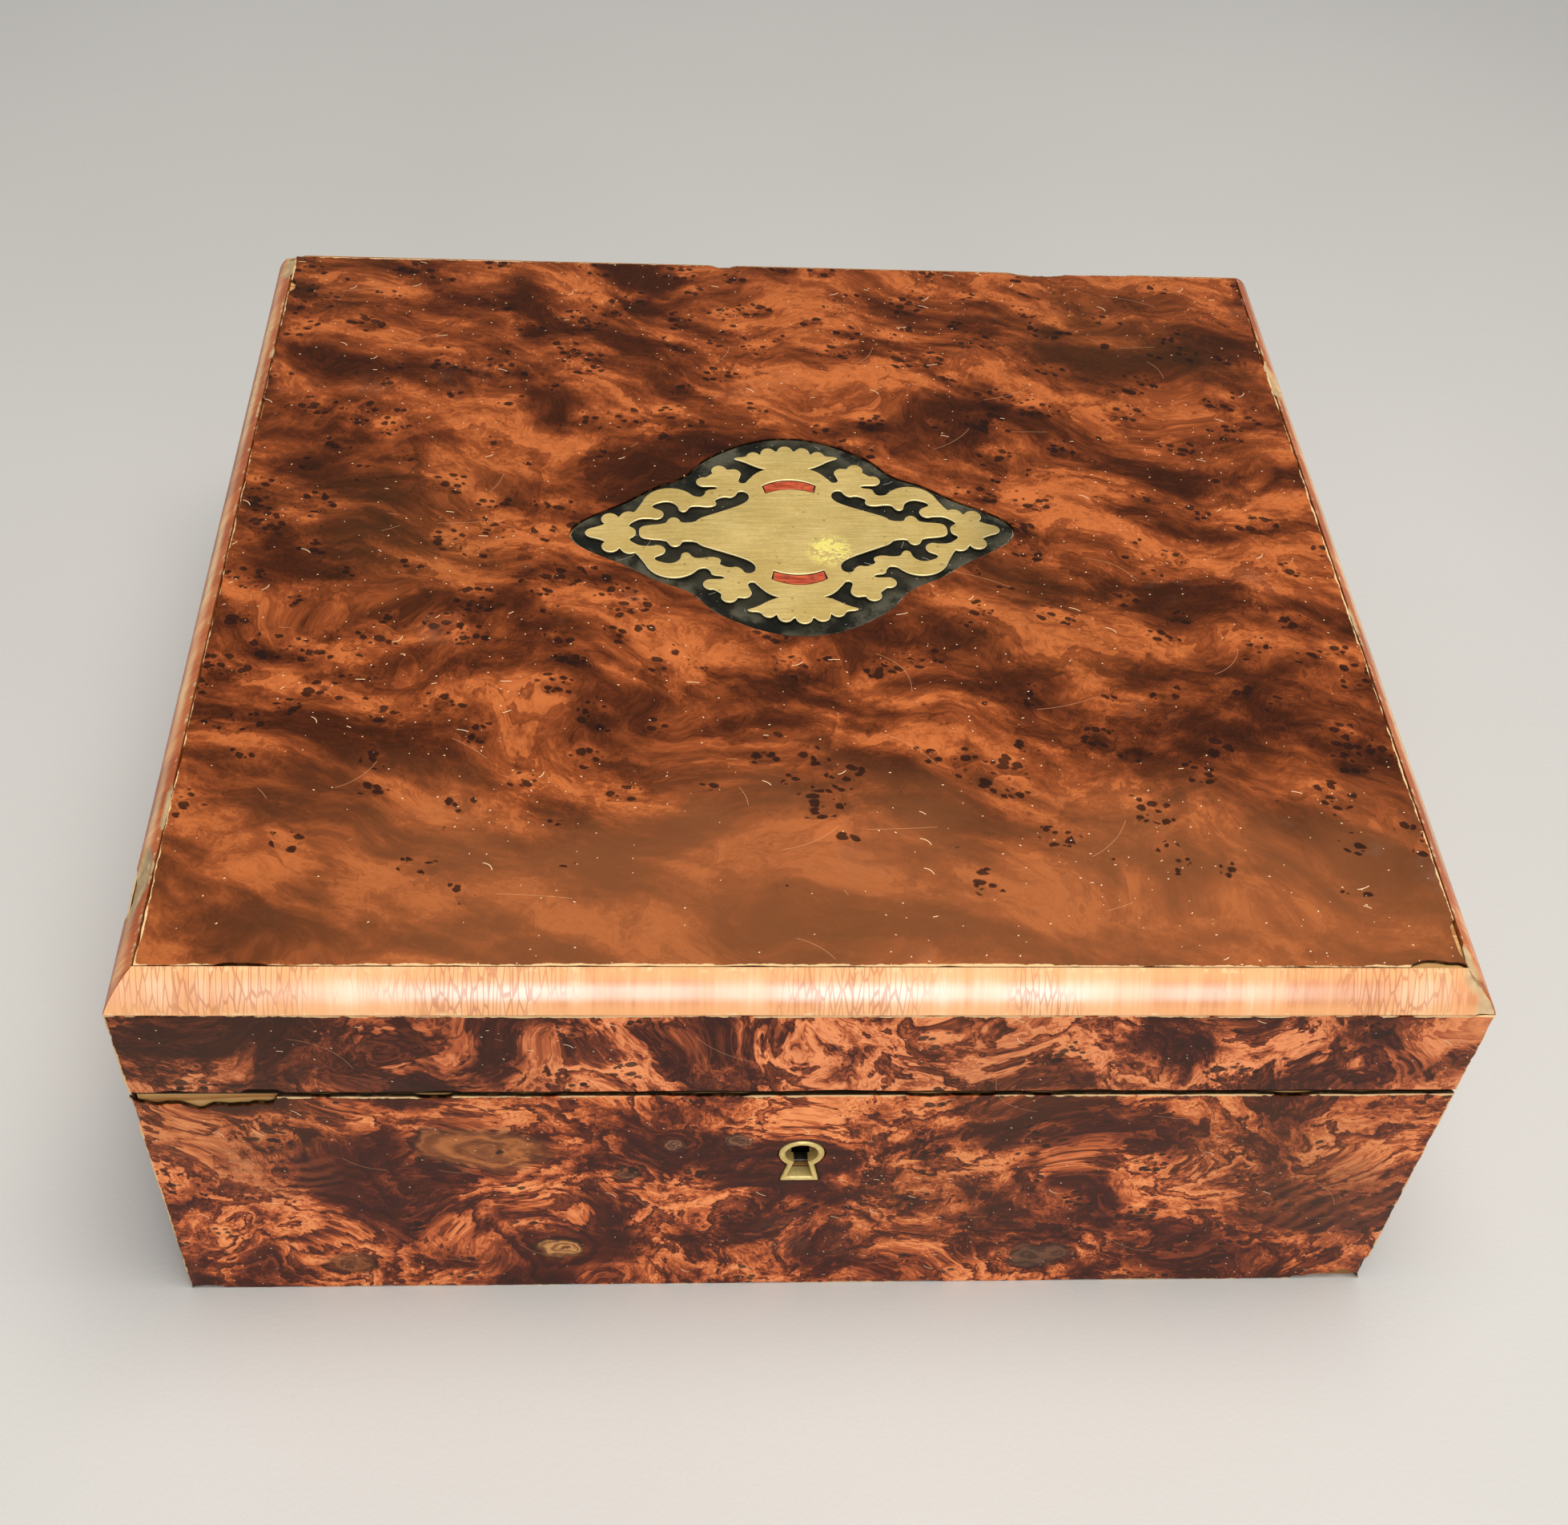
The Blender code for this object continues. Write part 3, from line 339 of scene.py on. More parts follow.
def make_age_marks():
    """Small marks of use on a flat sheet: pale nicks, long fine scratches, and dull scuffs. The plane is
    1 along the sheet and 0 through its thickness."""
    tree, given, leave = new_group(
        "age marks",
        [
            ("Vector", "Vector", (0.0, 0.0, 0.0)), ("Plane", "Vector", (1.0, 1.0, 0.0)),
            ("Nicks", "Float", 0.4), ("Scratches", "Float", 0.3),
        ],
        [("Nick", "Float"), ("Scratch", "Float"), ("Scuff", "Float")],
    )
    many = clouds(tree, given["Vector"], 22.0, 2.0)["Fac"]
    crowd = calc(tree, "MULTIPLY", given["Nicks"], rise(tree, many, 0.35, 0.65, 0.2, 1.5))
    specks = strokes(tree, given, 0.0036, calc(tree, "MULTIPLY", crowd, 0.7), 0.0003, 0.00015)
    nicks = strokes(tree, given, 0.0080, calc(tree, "MULTIPLY", crowd, 0.5), 0.0015, 0.00011)
    scratch = strokes(tree, given, 0.0190, given["Scratches"], 0.0080, 0.00007)
    scuff = rise(tree, clouds(tree, given["Vector"], 26.0, 5.0, 0.7)["Fac"], 0.6, 0.78)
    tree.links.new(calc(tree, "MAXIMUM", specks, nicks), leave["Nick"])
    tree.links.new(scratch, leave["Scratch"])
    tree.links.new(scuff, leave["Scuff"])
    return tree


edge_wear = make_edge_wear()
age_marks = make_age_marks()


def length_from(tree, along, x, z):
    """Distance of each point from an upright line through a sheet, seen from its front."""
    flat = move(tree, "MULTIPLY", move(tree, "SUBTRACT", along, (x, 0.0, z)), (1.0, 0.0, 1.0))
    return add_node(tree, "VectorMath", {0: flat}, operation="LENGTH").outputs["Value"]


def add_knots(tree, along, base, knots):
    """Small oval knots with blurred rings, a dark heart and a dark broken rim. Each is its x and z, its
    half width and half height, and its light and dark tints."""
    for x, z, wide, high, light, dark in knots:
        offset = move(tree, "SUBTRACT", along, (x, 0.0, z))
        stretched = move(tree, "MULTIPLY", offset, (1 / wide, 0.0, 1 / high))
        wobble = clouds(tree, along, 0.8 / high, 3.0)
        shake = enlarge(tree, move(tree, "SUBTRACT", wobble["Color"], (0.5, 0.5, 0.5)), 1.5)
        shaken = move(tree, "MULTIPLY", move(tree, "ADD", stretched, shake), (1.0, 0.0, 1.0))
        away = add_node(tree, "VectorMath", {0: shaken}, operation="LENGTH").outputs["Value"]
        turns = calc(tree, "MULTIPLY_ADD", away, 2.3, calc(tree, "MULTIPLY", wobble["Fac"], 2.2))
        rings = rise(tree, calc(tree, "PINGPONG", turns, 0.5), 0.08, 0.42, 0.25, 0.95)
        tinted = over(tree, rings, colour(*dark), colour(*light))
        hearted = over(tree, rise(tree, away, 0.34, 0.10, 0.0, 0.75), tinted, colour(*dark))
        rim = calc(tree, "MULTIPLY", rise(tree, away, 1.30, 1.0), rise(tree, away, 0.78, 0.98))
        broken = calc(tree, "MULTIPLY", rim, rise(tree, wobble["Fac"], 0.35, 0.58, 0.2, 0.75))
        base = over(tree, rise(tree, away, 1.12, 0.78, 0.0, 0.9), base, hearted)
        base = over(tree, broken, base, colour(40, 18, 12))
    return base


def add_fans(tree, along, base, fans):
    """Patches of parallel curved streaks. Each is the patch's x, z and radius, the x and z that the
    streaks bend round, and their spacing."""
    for x, z, radius, round_x, round_z, spacing in fans:
        sway = calc(tree, "MULTIPLY", clouds(tree, along, 45.0, 3.0)["Fac"], 4.0)
        turns = calc(tree, "DIVIDE", length_from(tree, along, round_x, round_z), spacing)
        streaks = rise(tree, calc(tree, "PINGPONG", calc(tree, "ADD", turns, sway), 0.5), 0.10, 0.42)
        edge = calc(tree, "MULTIPLY_ADD", sway, radius * 0.18, length_from(tree, along, x, z))
        inside = rise(tree, edge, radius * 1.25, radius * 0.7)
        grain = over(tree, streaks, colour(44, 18, 10), colour(150, 74, 40))
        base = over(tree, calc(tree, "MULTIPLY", inside, 0.42), base, grain)
    return base


def burr_veneer(name, turn, flow, swirl, bands, pips, bright, tints, low, high, knots=(), fans=(), painted_sheen=None):
    """Polished burr: ribbons and clouds give the tone, pips and halos lie on it, then fibres and marks.
    bright is how far the ribbons outweigh the clouds, tints run from dark wood to light, low and high
    are the corners of the sheet, and the last argument is a painted sheen: a plain tint, with where it
    lies, standing in for light reflected off the polish."""
    made, tree, shader, place = new_material(name, 0.34)
    shader.inputs["Specular IOR Level"].default_value = 0.1
    shader.inputs["Coat Roughness"].default_value = 0.2
    shader.inputs["Coat IOR"].default_value = 1.4
    along = turned_place(tree, place, turn)
    bulge = 0.0
    for x, z, wide, _, _, _ in knots:
        swollen = rise(tree, length_from(tree, along, x, z), wide * 2.8, 0.0, 0.0, 2.0)
        bulge = calc(tree, "ADD", bulge, swollen)
    values = {
        "Vector": along, "Flow": flow, "Swirl": swirl, "Bands": bands, "Pips": pips(tree, place),
        "Bulge": bulge,
    }
    figure = placed_group(tree, burr_figure, values)
    mood = rise(tree, figure["Cloud"], 0.34, 0.64)
    share = bright(tree, place)
    lively = calc(tree, "MULTIPLY", share, calc(tree, "MULTIPLY_ADD", mood, 0.75, 0.35))
    ribbons = calc(tree, "MULTIPLY", figure["Ribbon"], lively)
    tone = calc(tree, "MULTIPLY_ADD", mood, calc(tree, "SUBTRACT", 1.0, share), ribbons)
    fine = calc(tree, "MULTIPLY_ADD", figure["Fibre"], 0.28, calc(tree, "SUBTRACT", tone, 0.12))
    ringed = calc(tree, "MULTIPLY_ADD", figure["Halo"], 0.16, fine)
    lit = calc(tree, "ADD", ringed, figure["Shade"])
    plain = shades(tree, rise(tree, lit, -0.15, 1.2), tints)
    # Painted sheen: a plain paler tint laid over the figure where the light's reflection lies.
    if painted_sheen:
        tint, where = painted_sheen
        plain = over(tree, where(tree, place), plain, colour(*tint))
    base = add_fans(tree, along, add_knots(tree, along, plain, knots), fans)
    olive = rise(tree, clouds(tree, along, 11.0, 2.0)["Fac"], 0.5, 0.72, 0.0, 0.3)
    aged = over(tree, olive, base, colour(80, 52, 24))
    dotted = over(tree, calc(tree, "MULTIPLY", figure["Pip"], 0.88), aged, colour(30, 13, 8))
    middle = (low + high) / 2
    half = (high - low) / 2
    thin = min(range(3), key=lambda axis: half[axis])
    half[thin] = 1.0
    plane = [1.0, 1.0, 1.0]
    plane[thin] = 0.0
    face = high[thin] if middle[thin] > 0 else low[thin]
    marks = placed_group(tree, age_marks, {"Vector": place, "Plane": plane, "Nicks": 0.32, "Scratches": 0.35})
    flecked = over(tree, calc(tree, "MULTIPLY", marks["Nick"], 0.95), dotted, colour(242, 210, 168))
    scored = over(tree, calc(tree, "MULTIPLY", marks["Scratch"], 0.5), flecked, colour(222, 168, 122))
    wear = placed_group(tree, edge_wear, {
        "Vector": place, "Middle": tuple(middle), "Half Size": tuple(half), "Width": 0.0003,
    })
    sunk = calc(tree, "SUBTRACT", parts_of(tree, place)[thin], face)
    # Painted shade: the sheet's cut sides, deeper than about a quarter millimetre below its face, are
    # coloured near-black, standing in for the shade in the gap under the lid and inside the chips; torn
    # patches of raw brown wood break it up.
    cut_side = rise(tree, calc(tree, "ABSOLUTE", sunk), 0.00022, 0.00040)
    worn = over(tree, calc(tree, "MULTIPLY", wear["Wear"], 0.9), scored, colour(228, 192, 140))
    torn = rise(tree, clouds(tree, place, 420.0, 3.0)["Fac"], 0.52, 0.60)
    side_tint = over(tree, torn, colour(24, 15, 10), colour(88, 58, 34))
    dark_side = over(tree, calc(tree, "MULTIPLY", cut_side, 0.94), worn, side_tint)
    grey = over(tree, calc(tree, "MULTIPLY", marks["Scuff"], 0.12), dark_side, colour(150, 128, 108))
    dulled = rise(tree, figure["Fibre"], 0.0, 1.2, 0.30, 0.42)
    feed(
        tree, shader, Base_Color=grey, Roughness=calc(tree, "MULTIPLY_ADD", marks["Scuff"], 0.25, dulled),
        Coat_Weight=calc(tree, "MULTIPLY", calc(tree, "SUBTRACT", 1.0, wear["Wear"]), 0.12),
    )
    ripple = clouds(tree, place, 70.0, 3.0)["Fac"]
    pores = clouds(tree, move(tree, "MULTIPLY", along, (300.0, 1500.0, 1500.0)), 1.0, 2.0)["Fac"]
    height = calc(tree, "MULTIPLY_ADD", pores, 0.06, calc(tree, "MULTIPLY", ripple, 0.8))
    emboss(tree, shader, height, 0.0006, 0.45)
    return made


def add_piece(name, bm, finish, body, replaced=(), crease=35.0):
    """Turns a bmesh into a named piece with its finish, that rides on a body and stands for CAD nodes."""
    bmesh.ops.recalc_face_normals(bm, faces=bm.faces)
    mesh = bpy.data.meshes.new(name)
    bm.to_mesh(mesh)
    bm.free()
    mesh.materials.append(finish)
    mesh.shade_smooth()
    mesh.set_sharp_from_angle(angle=radians(crease))
    made = bpy.data.objects.new(name, mesh)
    bpy.context.scene.collection.objects.link(made)
    evened = made.modifiers.new("even shading", "WEIGHTED_NORMAL")
    evened.keep_sharp = True
    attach(made, body)
    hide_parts(*replaced)
    return made


def cut_sheet(loops, bottom, top, place, softening):
    """A flat sheet from its outline and the outlines of its holes, its upper arrises a little rounded.
    The softening is in the plan's own unit."""
    bm = bmesh.new()
    for loop in loops:
        corners = [bm.verts.new((x, y, bottom)) for x, y in loop]
        for start, end in zip(corners, corners[1:] + corners[:1]):
            bm.edges.new((start, end))
    bmesh.ops.triangle_fill(bm, edges=bm.edges, use_beauty=True, use_dissolve=False)
    grown = bmesh.ops.extrude_face_region(bm, geom=bm.faces[:])
    risen = [part for part in grown["geom"] if isinstance(part, bmesh.types.BMVert)]
    bmesh.ops.translate(bm, vec=(0, 0, top - bottom), verts=risen)
    bmesh.ops.recalc_face_normals(bm, faces=bm.faces)
    raised = set(risen)
    upper = [face for face in bm.faces if raised.issuperset(face.verts)]
    bmesh.ops.inset_region(
        bm, faces=upper, thickness=softening, depth=0.0, use_even_offset=False, use_boundary=True,
    )
    bm.normal_update()
    walls = [face for face in bm.faces if abs(face.normal.z) < 0.5]
    rim = {vert for wall in walls for vert in wall.verts if vert.co.z > (bottom + top) / 2}
    bmesh.ops.translate(bm, vec=(0, 0, -softening), verts=list(rim))
    bmesh.ops.transform(bm, matrix=place, verts=bm.verts)
    return bm


def nibbled(start, end, inwards, bites, wear, seed):
    """Points along an edge that time has eaten: a little all along, and deeper at each bite.
    A bite is its place from the start, its half width and its depth, in metres."""
    start = Vector(start)
    end = Vector(end)
    inwards = Vector(inwards)
    length = (end - start).length
    spacing = 0.0010
    count = max(2, round(length / spacing))
    points = []
    for step in range(count):
        along = length * step / count
        rough = noise.fractal(Vector((along * 180, seed, 0.5)), 1.0, 2.0, 3)
        eaten = wear * max(0.0, rough + 0.15)
        for place, half, depth in bites:
            inside = 1 - ((along - place) / half) ** 2
            if inside > 0:
                eaten = max(eaten, depth * inside**0.4 * (0.85 + 0.5 * rough))
        if step == 0:
            eaten = 0.0
        points.append(start.lerp(end, step / count) + inwards * eaten)
    return [(point.x, point.y) for point in points]


def worn_rectangle(low, high, bites, wear, seed):
    """A rectangle with each edge nibbled; bites are listed for the bottom, right, top and left edges,
    each measured from the left or from the bottom."""
    corners = [(low[0], low[1]), (high[0], low[1]), (high[0], high[1]), (low[0], high[1])]
    inwards = [(0, 1), (-1, 0), (0, -1), (1, 0)]
    lengths = [high[0] - low[0], high[1] - low[1]] * 2
    points = []
    for side in range(4):
        marks = bites[side]
        if side > 1:
            marks = [(lengths[side] - place, half, depth) for place, half, depth in marks]
        ends = (corners[side], corners[(side + 1) % 4])
        points += nibbled(*ends, inwards[side], marks, wear, seed + side * 7.3)
    return points


def standing(turn):
    """Stands a plan up on the side of the box that the front becomes when turned, its top outwards."""
    upright = Matrix.Rotation(turn, 4, "Z") @ Matrix.Rotation(pi / 2, 4, "X")
    return Matrix.Translation((0.0, middle_y, 0.0)) @ upright


def arc(x, y, radius, start, end, steps):
    """Points on a circle from one angle to another, in degrees."""
    angles = [radians(start + (end - start) * step / steps) for step in range(steps + 1)]
    return [(x + radius * cos(angle), y + radius * sin(angle)) for angle in angles]


keyhole_low, keyhole_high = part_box("keyhole_escutcheon")
escutcheon_wall = 0.0013
keyhole_radius = (keyhole_high.x - keyhole_low.x) / 2 - escutcheon_wall
keyhole_x = (keyhole_low.x + keyhole_high.x) / 2
keyhole_z = keyhole_high.z - keyhole_radius - escutcheon_wall


def keyhole_outline(grow):
    """A keyhole grown all round: round above, flared below."""
    radius = keyhole_radius + grow
    neck = 0.0015 + grow
    foot = 0.0028 + grow
    drop = 0.0087 + grow
    leave = degrees(asin(neck / radius))
    loop = arc(0.0, 0.0, radius, leave - 90, 270 - leave, 40) + [(-foot, -drop), (foot, -drop)]
    return [(keyhole_x + x, keyhole_z + y) for x, y in loop]


def some_pips(tree, place):
    """On the sides, flocks of pips are few and lie anywhere."""
    return 0.30


def strong_ribbons(tree, place):
    """On the sides, the ribbons stand out strongly all over."""
    return 0.72


# the turn of each side from the front, how far it stands from the middle, and half its sheet's width
tucked = half_depth - sheet_thickness - 0.0001
sides = {
    "front": (0.0, half_depth, half_length), "back": (pi, half_depth, half_length),
    "right": (pi / 2, half_length, tucked), "left": (-pi / 2, half_length, tucked),
}


def side_veneer(name, node, side, bites, finish, body, seed, holes=(), lift=0.0):
    """One upright sheet of veneer, from its CAD node's height and the side that it covers. Bites are
    listed for its bottom, right, top and left edges, and lift is how far its lower edge is rubbed up."""
    turn, reach, half = sides[side]
    low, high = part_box(node)
    outline = worn_rectangle((-half, low.z + lift), (half, high.z), bites, 0.00038, seed)
    bm = cut_sheet([outline, *holes], reach - sheet_thickness, reach, standing(turn), 0.00018)
    add_piece(name, bm, finish, body, [node])


front_tints = [
    (0.00, (38, 11, 4)), (0.25, (70, 25, 11)), (0.50, (120, 54, 28)),
    (0.75, (192, 98, 54)), (1.00, (250, 156, 100)),
]
body_tints = [
    (0.00, (42, 12, 4)), (0.25, (80, 28, 11)), (0.50, (136, 60, 28)),
    (0.75, (208, 106, 54)), (1.00, (255, 160, 98)),
]
front_knots = [
    (-0.0661, 0.0561, 0.0125, 0.0080, (180, 108, 56), (84, 40, 20)),
    (-0.0512, 0.0162, 0.0052, 0.0036, (220, 158, 92), (104, 50, 22)),
    (0.0562, 0.0120, 0.0075, 0.0052, (104, 74, 54), (52, 36, 28)),
    (-0.0980, 0.0110, 0.0060, 0.0042, (140, 82, 44), (66, 30, 18)),
    (-0.0130, 0.0600, 0.0028, 0.0022, (132, 88, 64), (46, 28, 22)),
    (-0.0268, 0.0585, 0.0026, 0.0020, (150, 100, 70), (44, 24, 18)),
    (-0.0365, 0.0470, 0.0030, 0.0020, (120, 74, 46), (40, 22, 16)),
]
front_fans = [
    (0.1180, 0.0360, 0.0240, 0.0620, 0.0900, 0.0042), (-0.1120, 0.0500, 0.0200, -0.1180, 0.1150, 0.0038),
]
side_knots = {
    "back": [(0.0480, 0.0420, 0.0080, 0.0055, (160, 98, 54), (80, 40, 22))],
    "left": [(0.0400, 0.0300, 0.0060, 0.0050, (150, 88, 44), (60, 28, 18))],
    "right": [(-0.0550, 0.0460, 0.0050, 0.0045, (150, 88, 44), (60, 28, 18))],
}
side_flow = (44.0, 52.0, 50.0)
side_swirl = 1.45
side_bands = 5.8
burr_of_body = {}
for side, way in (("front", 0.0), ("back", pi), ("left", pi / 2), ("right", -pi / 2)):
    knots = side_knots.get(side, front_knots)
    fans = front_fans if side == "front" else []
    burr_of_body[side] = burr_veneer(
        f"burr veneer of the body's {side}", way, side_flow, side_swirl, side_bands, some_pips,
        strong_ribbons, body_tints, *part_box(f"base_{side}_veneer"), knots, fans,
    )
rim_bites = [
    (0.006, 0.006, 0.0034), (0.014, 0.006, 0.0040), (0.022, 0.007, 0.0034), (0.060, 0.004, 0.0007),
    (0.118, 0.006, 0.0006), (0.160, 0.005, 0.0008), (0.236, 0.004, 0.0007),
]
foot_bites = [(0.2590, 0.0060, 0.0026), (0.2660, 0.0050, 0.0048), (0.0040, 0.0040, 0.0012)]
keyhole_seat = keyhole_outline(escutcheon_wall + 0.0003)
body_sheets = [
    ("front", 1.7, [keyhole_seat],
     [foot_bites, [(0.004, 0.006, 0.0016)], rim_bites, [(0.072, 0.005, 0.0009)]]),
    ("back", 11.9, [], [[(0.03, 0.005, 0.0009)], [], [(0.15, 0.006, 0.0010)], []]),
    ("right", 23.1, [], [[(0.006, 0.005, 0.0022)], [], [(0.19, 0.005, 0.0011)], []]),
    ("left", 35.7, [], [[], [(0.06, 0.004, 0.0008)], [(0.05, 0.006, 0.0012)], []]),
]
for side, seed, holes, bites in body_sheets:
    side_veneer(
        f"body_{side}_sheet", f"base_{side}_veneer", side, bites, burr_of_body[side], "body", seed, holes,
    )


# ---------------------------------------------------------------- keyhole escutcheon
# A cast brass ring driven into the front so that it stands just proud of the polish. Its face has been
# filed flat and rubbed bright; the inside of the ring is dull.


def make_metal_wear():
    """Wear of metal: granular tarnish, hair scratches along X, and spots."""
    tree, given, leave = new_group(
        "metal wear",
        [("Vector", "Vector", (0.0, 0.0, 0.0)), ("Grain", "Float", 900.0)],
        [("Tarnish", "Float"), ("Hairline", "Float"), ("Spot", "Float")],
    )
    coarse = clouds(tree, given["Vector"], 60.0, 4.0, 0.65)["Fac"]
    grains = clouds(tree, given["Vector"], given["Grain"], 3.0, 0.6)["Fac"]
    tarnish = rise(tree, calc(tree, "MULTIPLY_ADD", grains, 0.5, coarse), 0.5, 1.0)
    drawn = move(tree, "MULTIPLY", given["Vector"], (120.0, 5200.0, 5200.0))
    hairline = clouds(tree, drawn, 1.0, 2.0)["Fac"]
    dots = cells(tree, given["Vector"], 420.0)
    spot = rise(tree, dots["Distance"], 0.22, 0.08)
    luck = parts_of(tree, dots["Color"])
    spot = calc(tree, "MULTIPLY", spot, calc(tree, "LESS_THAN", luck["X"], 0.3))
    tree.links.new(tarnish, leave["Tarnish"])
    tree.links.new(hairline, leave["Hairline"])
    tree.links.new(spot, leave["Spot"])
    return tree


metal_wear = make_metal_wear()


def metal(name, clean, dull, roughness, bare=0.6, turn=0.0):
    """Metal with tarnish in patches and fine scratches along the way it was rubbed. bare is how much of
    it shines as clean metal through the dull film on it."""
    made, tree, shader, place = new_material(name, roughness, bare)
    along = turned_place(tree, place, turn)
    wear = placed_group(tree, metal_wear, {"Vector": along})
    base = over(tree, wear["Tarnish"], colour(*clean), colour(*dull))
    lined = over(tree, rise(tree, wear["Hairline"], 0.45, 0.75, 0.0, 0.25), base, colour(*dull))
    spotted = over(tree, calc(tree, "MULTIPLY", wear["Spot"], 0.6), lined, colour(70, 52, 24))
    rough = calc(tree, "MULTIPLY_ADD", wear["Tarnish"], 0.22, roughness)
    feed(tree, shader, Base_Color=spotted, Roughness=rough)
    height = calc(tree, "MULTIPLY_ADD", wear["Hairline"], 0.5, wear["Tarnish"])
    emboss(tree, shader, height, 0.00005, 0.5)
    return made


bright_brass = metal("rubbed brass", (246, 226, 156), (206, 178, 104), 0.32, 0.4)
ring_low = half_depth - (keyhole_high.y - front_y)
ring = cut_sheet(
    [keyhole_outline(escutcheon_wall), keyhole_outline(0.0)], ring_low, middle_y - keyhole_low.y,
    standing(0.0), 0.00028,
)
add_piece("escutcheon_ring", ring, bright_brass, "body", ["keyhole_escutcheon"])


# ---------------------------------------------------------------- lock in the body
# A box lock of sheet steel let into the front wall, its brass top plate screwed to the rim. A sprung
# bolt with two noses slides to the right through the eyes of the lid's staples.


def softened(name, node, finish, body, width):
    """A finished copy of a CAD piece, its faces joined up and its arrises rounded."""
    bm = bmesh.new()
    bm.from_mesh(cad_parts[node].data)
    bmesh.ops.remove_doubles(bm, verts=bm.verts, dist=1e-6)
    bmesh.ops.dissolve_limit(bm, angle_limit=radians(1.0), verts=bm.verts, edges=bm.edges)
    arrises = [edge for edge in bm.edges if edge.is_manifold and edge.calc_face_angle(0.0) > radians(28)]
    bmesh.ops.bevel(
        bm, geom=arrises, offset=width, segments=2, profile=0.5, affect="EDGES", material=-1,
        clamp_overlap=True,
    )
    return add_piece(name, bm, finish, body, [node])


old_brass = metal("cast brass of the fittings", (206, 172, 96), (120, 94, 44), 0.34)
old_steel = metal("oiled lock steel", (150, 146, 138), (70, 60, 50), 0.36, 0.8)
softened("lock_box", "lock_case", old_steel, "body", 0.00025)
softened("lock_lid_plate", "lock_cap", old_steel, "body", 0.0002)
softened("lock_top_plate", "lock_selvedge", old_brass, "body", 0.0002)
softened("lock_back_spring", "lock_spring", old_steel, "body", 0.00008)
softened("sliding_bolt", "lock_bolt", old_steel, "bolt", 0.00015)
for side in ("left", "right"):
    softened(f"lock_plate_screw_{side}", f"lock_screw_{side}", old_brass, "body", 0.0001)


# ---------------------------------------------------------------- lining of the body
# Crimson cotton velvet. The floor piece is glued over a thin bed of wadding, so it is crowned; the wall
# pieces are wrapped round card and pressed in, with turned-over edges.


def velvet(name):
    """Short pile that has been brushed both ways: dark and light patches, and dust in the nap."""
    made, tree, shader, place = new_material(name, 0.95)
    shader.inputs["Specular IOR Level"].default_value = 0.1
    shader.inputs["Sheen Weight"].default_value = 0.55
    shader.inputs["Sheen Roughness"].default_value = 0.4
    shader.inputs["Sheen Tint"].default_value = colour(214, 120, 120)
    nap = rise(tree, clouds(tree, place, 34.0, 4.0, 0.6)["Fac"], 0.38, 0.66)
    pile = clouds(tree, place, 2600.0, 2.0)["Fac"]
    ground = over(tree, nap, colour(74, 10, 20), colour(122, 22, 34))
    tufted = over(tree, rise(tree, pile, 0.35, 0.7, 0.45, 0.0), ground, colour(36, 4, 10))
    rubbed = rise(tree, clouds(tree, place, 13.0, 3.0)["Fac"], 0.58, 0.8, 0.0, 0.35)
    faded = over(tree, rubbed, tufted, colour(150, 82, 74))
    lint = cells(tree, place, 300.0)
    luck = parts_of(tree, lint["Color"])
    few = calc(tree, "LESS_THAN", luck["X"], 0.04)
    dusty = calc(tree, "MULTIPLY", few, rise(tree, lint["Distance"], 0.12, 0.04))
    feed(tree, shader, Base_Color=over(tree, dusty, faded, colour(196, 180, 168)))
    emboss(tree, shader, calc(tree, "MULTIPLY_ADD", nap, 0.6, pile), 0.0005, 0.7)
    return made


crimson_velvet = velvet("crimson velvet")


def cushion(low, high, facing, crown, seed):
    """A thin bed of wadding under cloth: flat behind, crowned in front, drawn down at its edges.
    Facing is the axis and the sign that the soft face looks along."""
    axis, sign = facing
    size = high - low
    bm = bmesh.new()
    bmesh.ops.create_cube(bm, size=1.0)
    bmesh.ops.scale(bm, vec=size, verts=bm.verts)
    bmesh.ops.translate(bm, vec=(low + high) / 2, verts=bm.verts)
    across = [other for other in range(3) if other != axis]
    for other in across:
        run = [
            edge for edge in bm.edges
            if abs((edge.verts[0].co - edge.verts[1].co)[other]) > size[other] * 0.9
        ]
        cuts = max(6, round(size[other] / 0.004))
        bmesh.ops.subdivide_edges(bm, edges=run, cuts=cuts, use_grid_fill=True)
    soft = high[axis] if sign > 0 else low[axis]
    for vert in bm.verts:
        if abs(vert.co[axis] - soft) > 1e-6:
            continue
        room = min(min(vert.co[other] - low[other], high[other] - vert.co[other]) for other in across)
        rolled = 1.0 - min(room / 0.006, 1.0)
        wave = noise.fractal(vert.co * 28.0 + Vector((seed, 0, 0)), 1.0, 2.0, 3)
        drop = crown * (0.75 * rolled**2.2 + 0.22 * (0.5 + 0.5 * wave) * (1 - rolled))
        vert.co[axis] -= sign * drop
    return bm


floor_pad = cushion(*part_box("lining_floor_pad"), (2, 1), 0.0022, 3.0)
pad = add_piece(
    "floor_cushion", floor_pad, crimson_velvet, "body", ["lining_floor_pad"], 60.0,
)
for side, facing in (("front", (1, 1)), ("back", (1, -1)), ("left", (0, 1)), ("right", (0, -1))):
    node = f"lining_{side}_panel"
    panel = cushion(*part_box(node), facing, 0.0009, 5.0 + facing[0] + facing[1] * 0.3)
    wall = add_piece(f"wall_cushion_{side}", panel, crimson_velvet, "body", [node], 60.0)


# ---------------------------------------------------------------- lid carcass
# Four rails of the same softwood, with a board laid on them inside the mouldings. Like the body's, the
# wood is bare where the lid meets the rim, and painted near-black there as shade for the gap.
lid_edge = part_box("lid_front_rail")[0].z
rail_lengthways = carcass_wood("lid wood lengthways", 0.0, lid_edge)
rail_crossways = carcass_wood("lid wood crossways", pi / 2, lid_edge)
give(rail_lengthways, "lid_front_rail", "lid_back_rail", "lid_top_board")
give(rail_crossways, "lid_left_rail", "lid_right_rail")


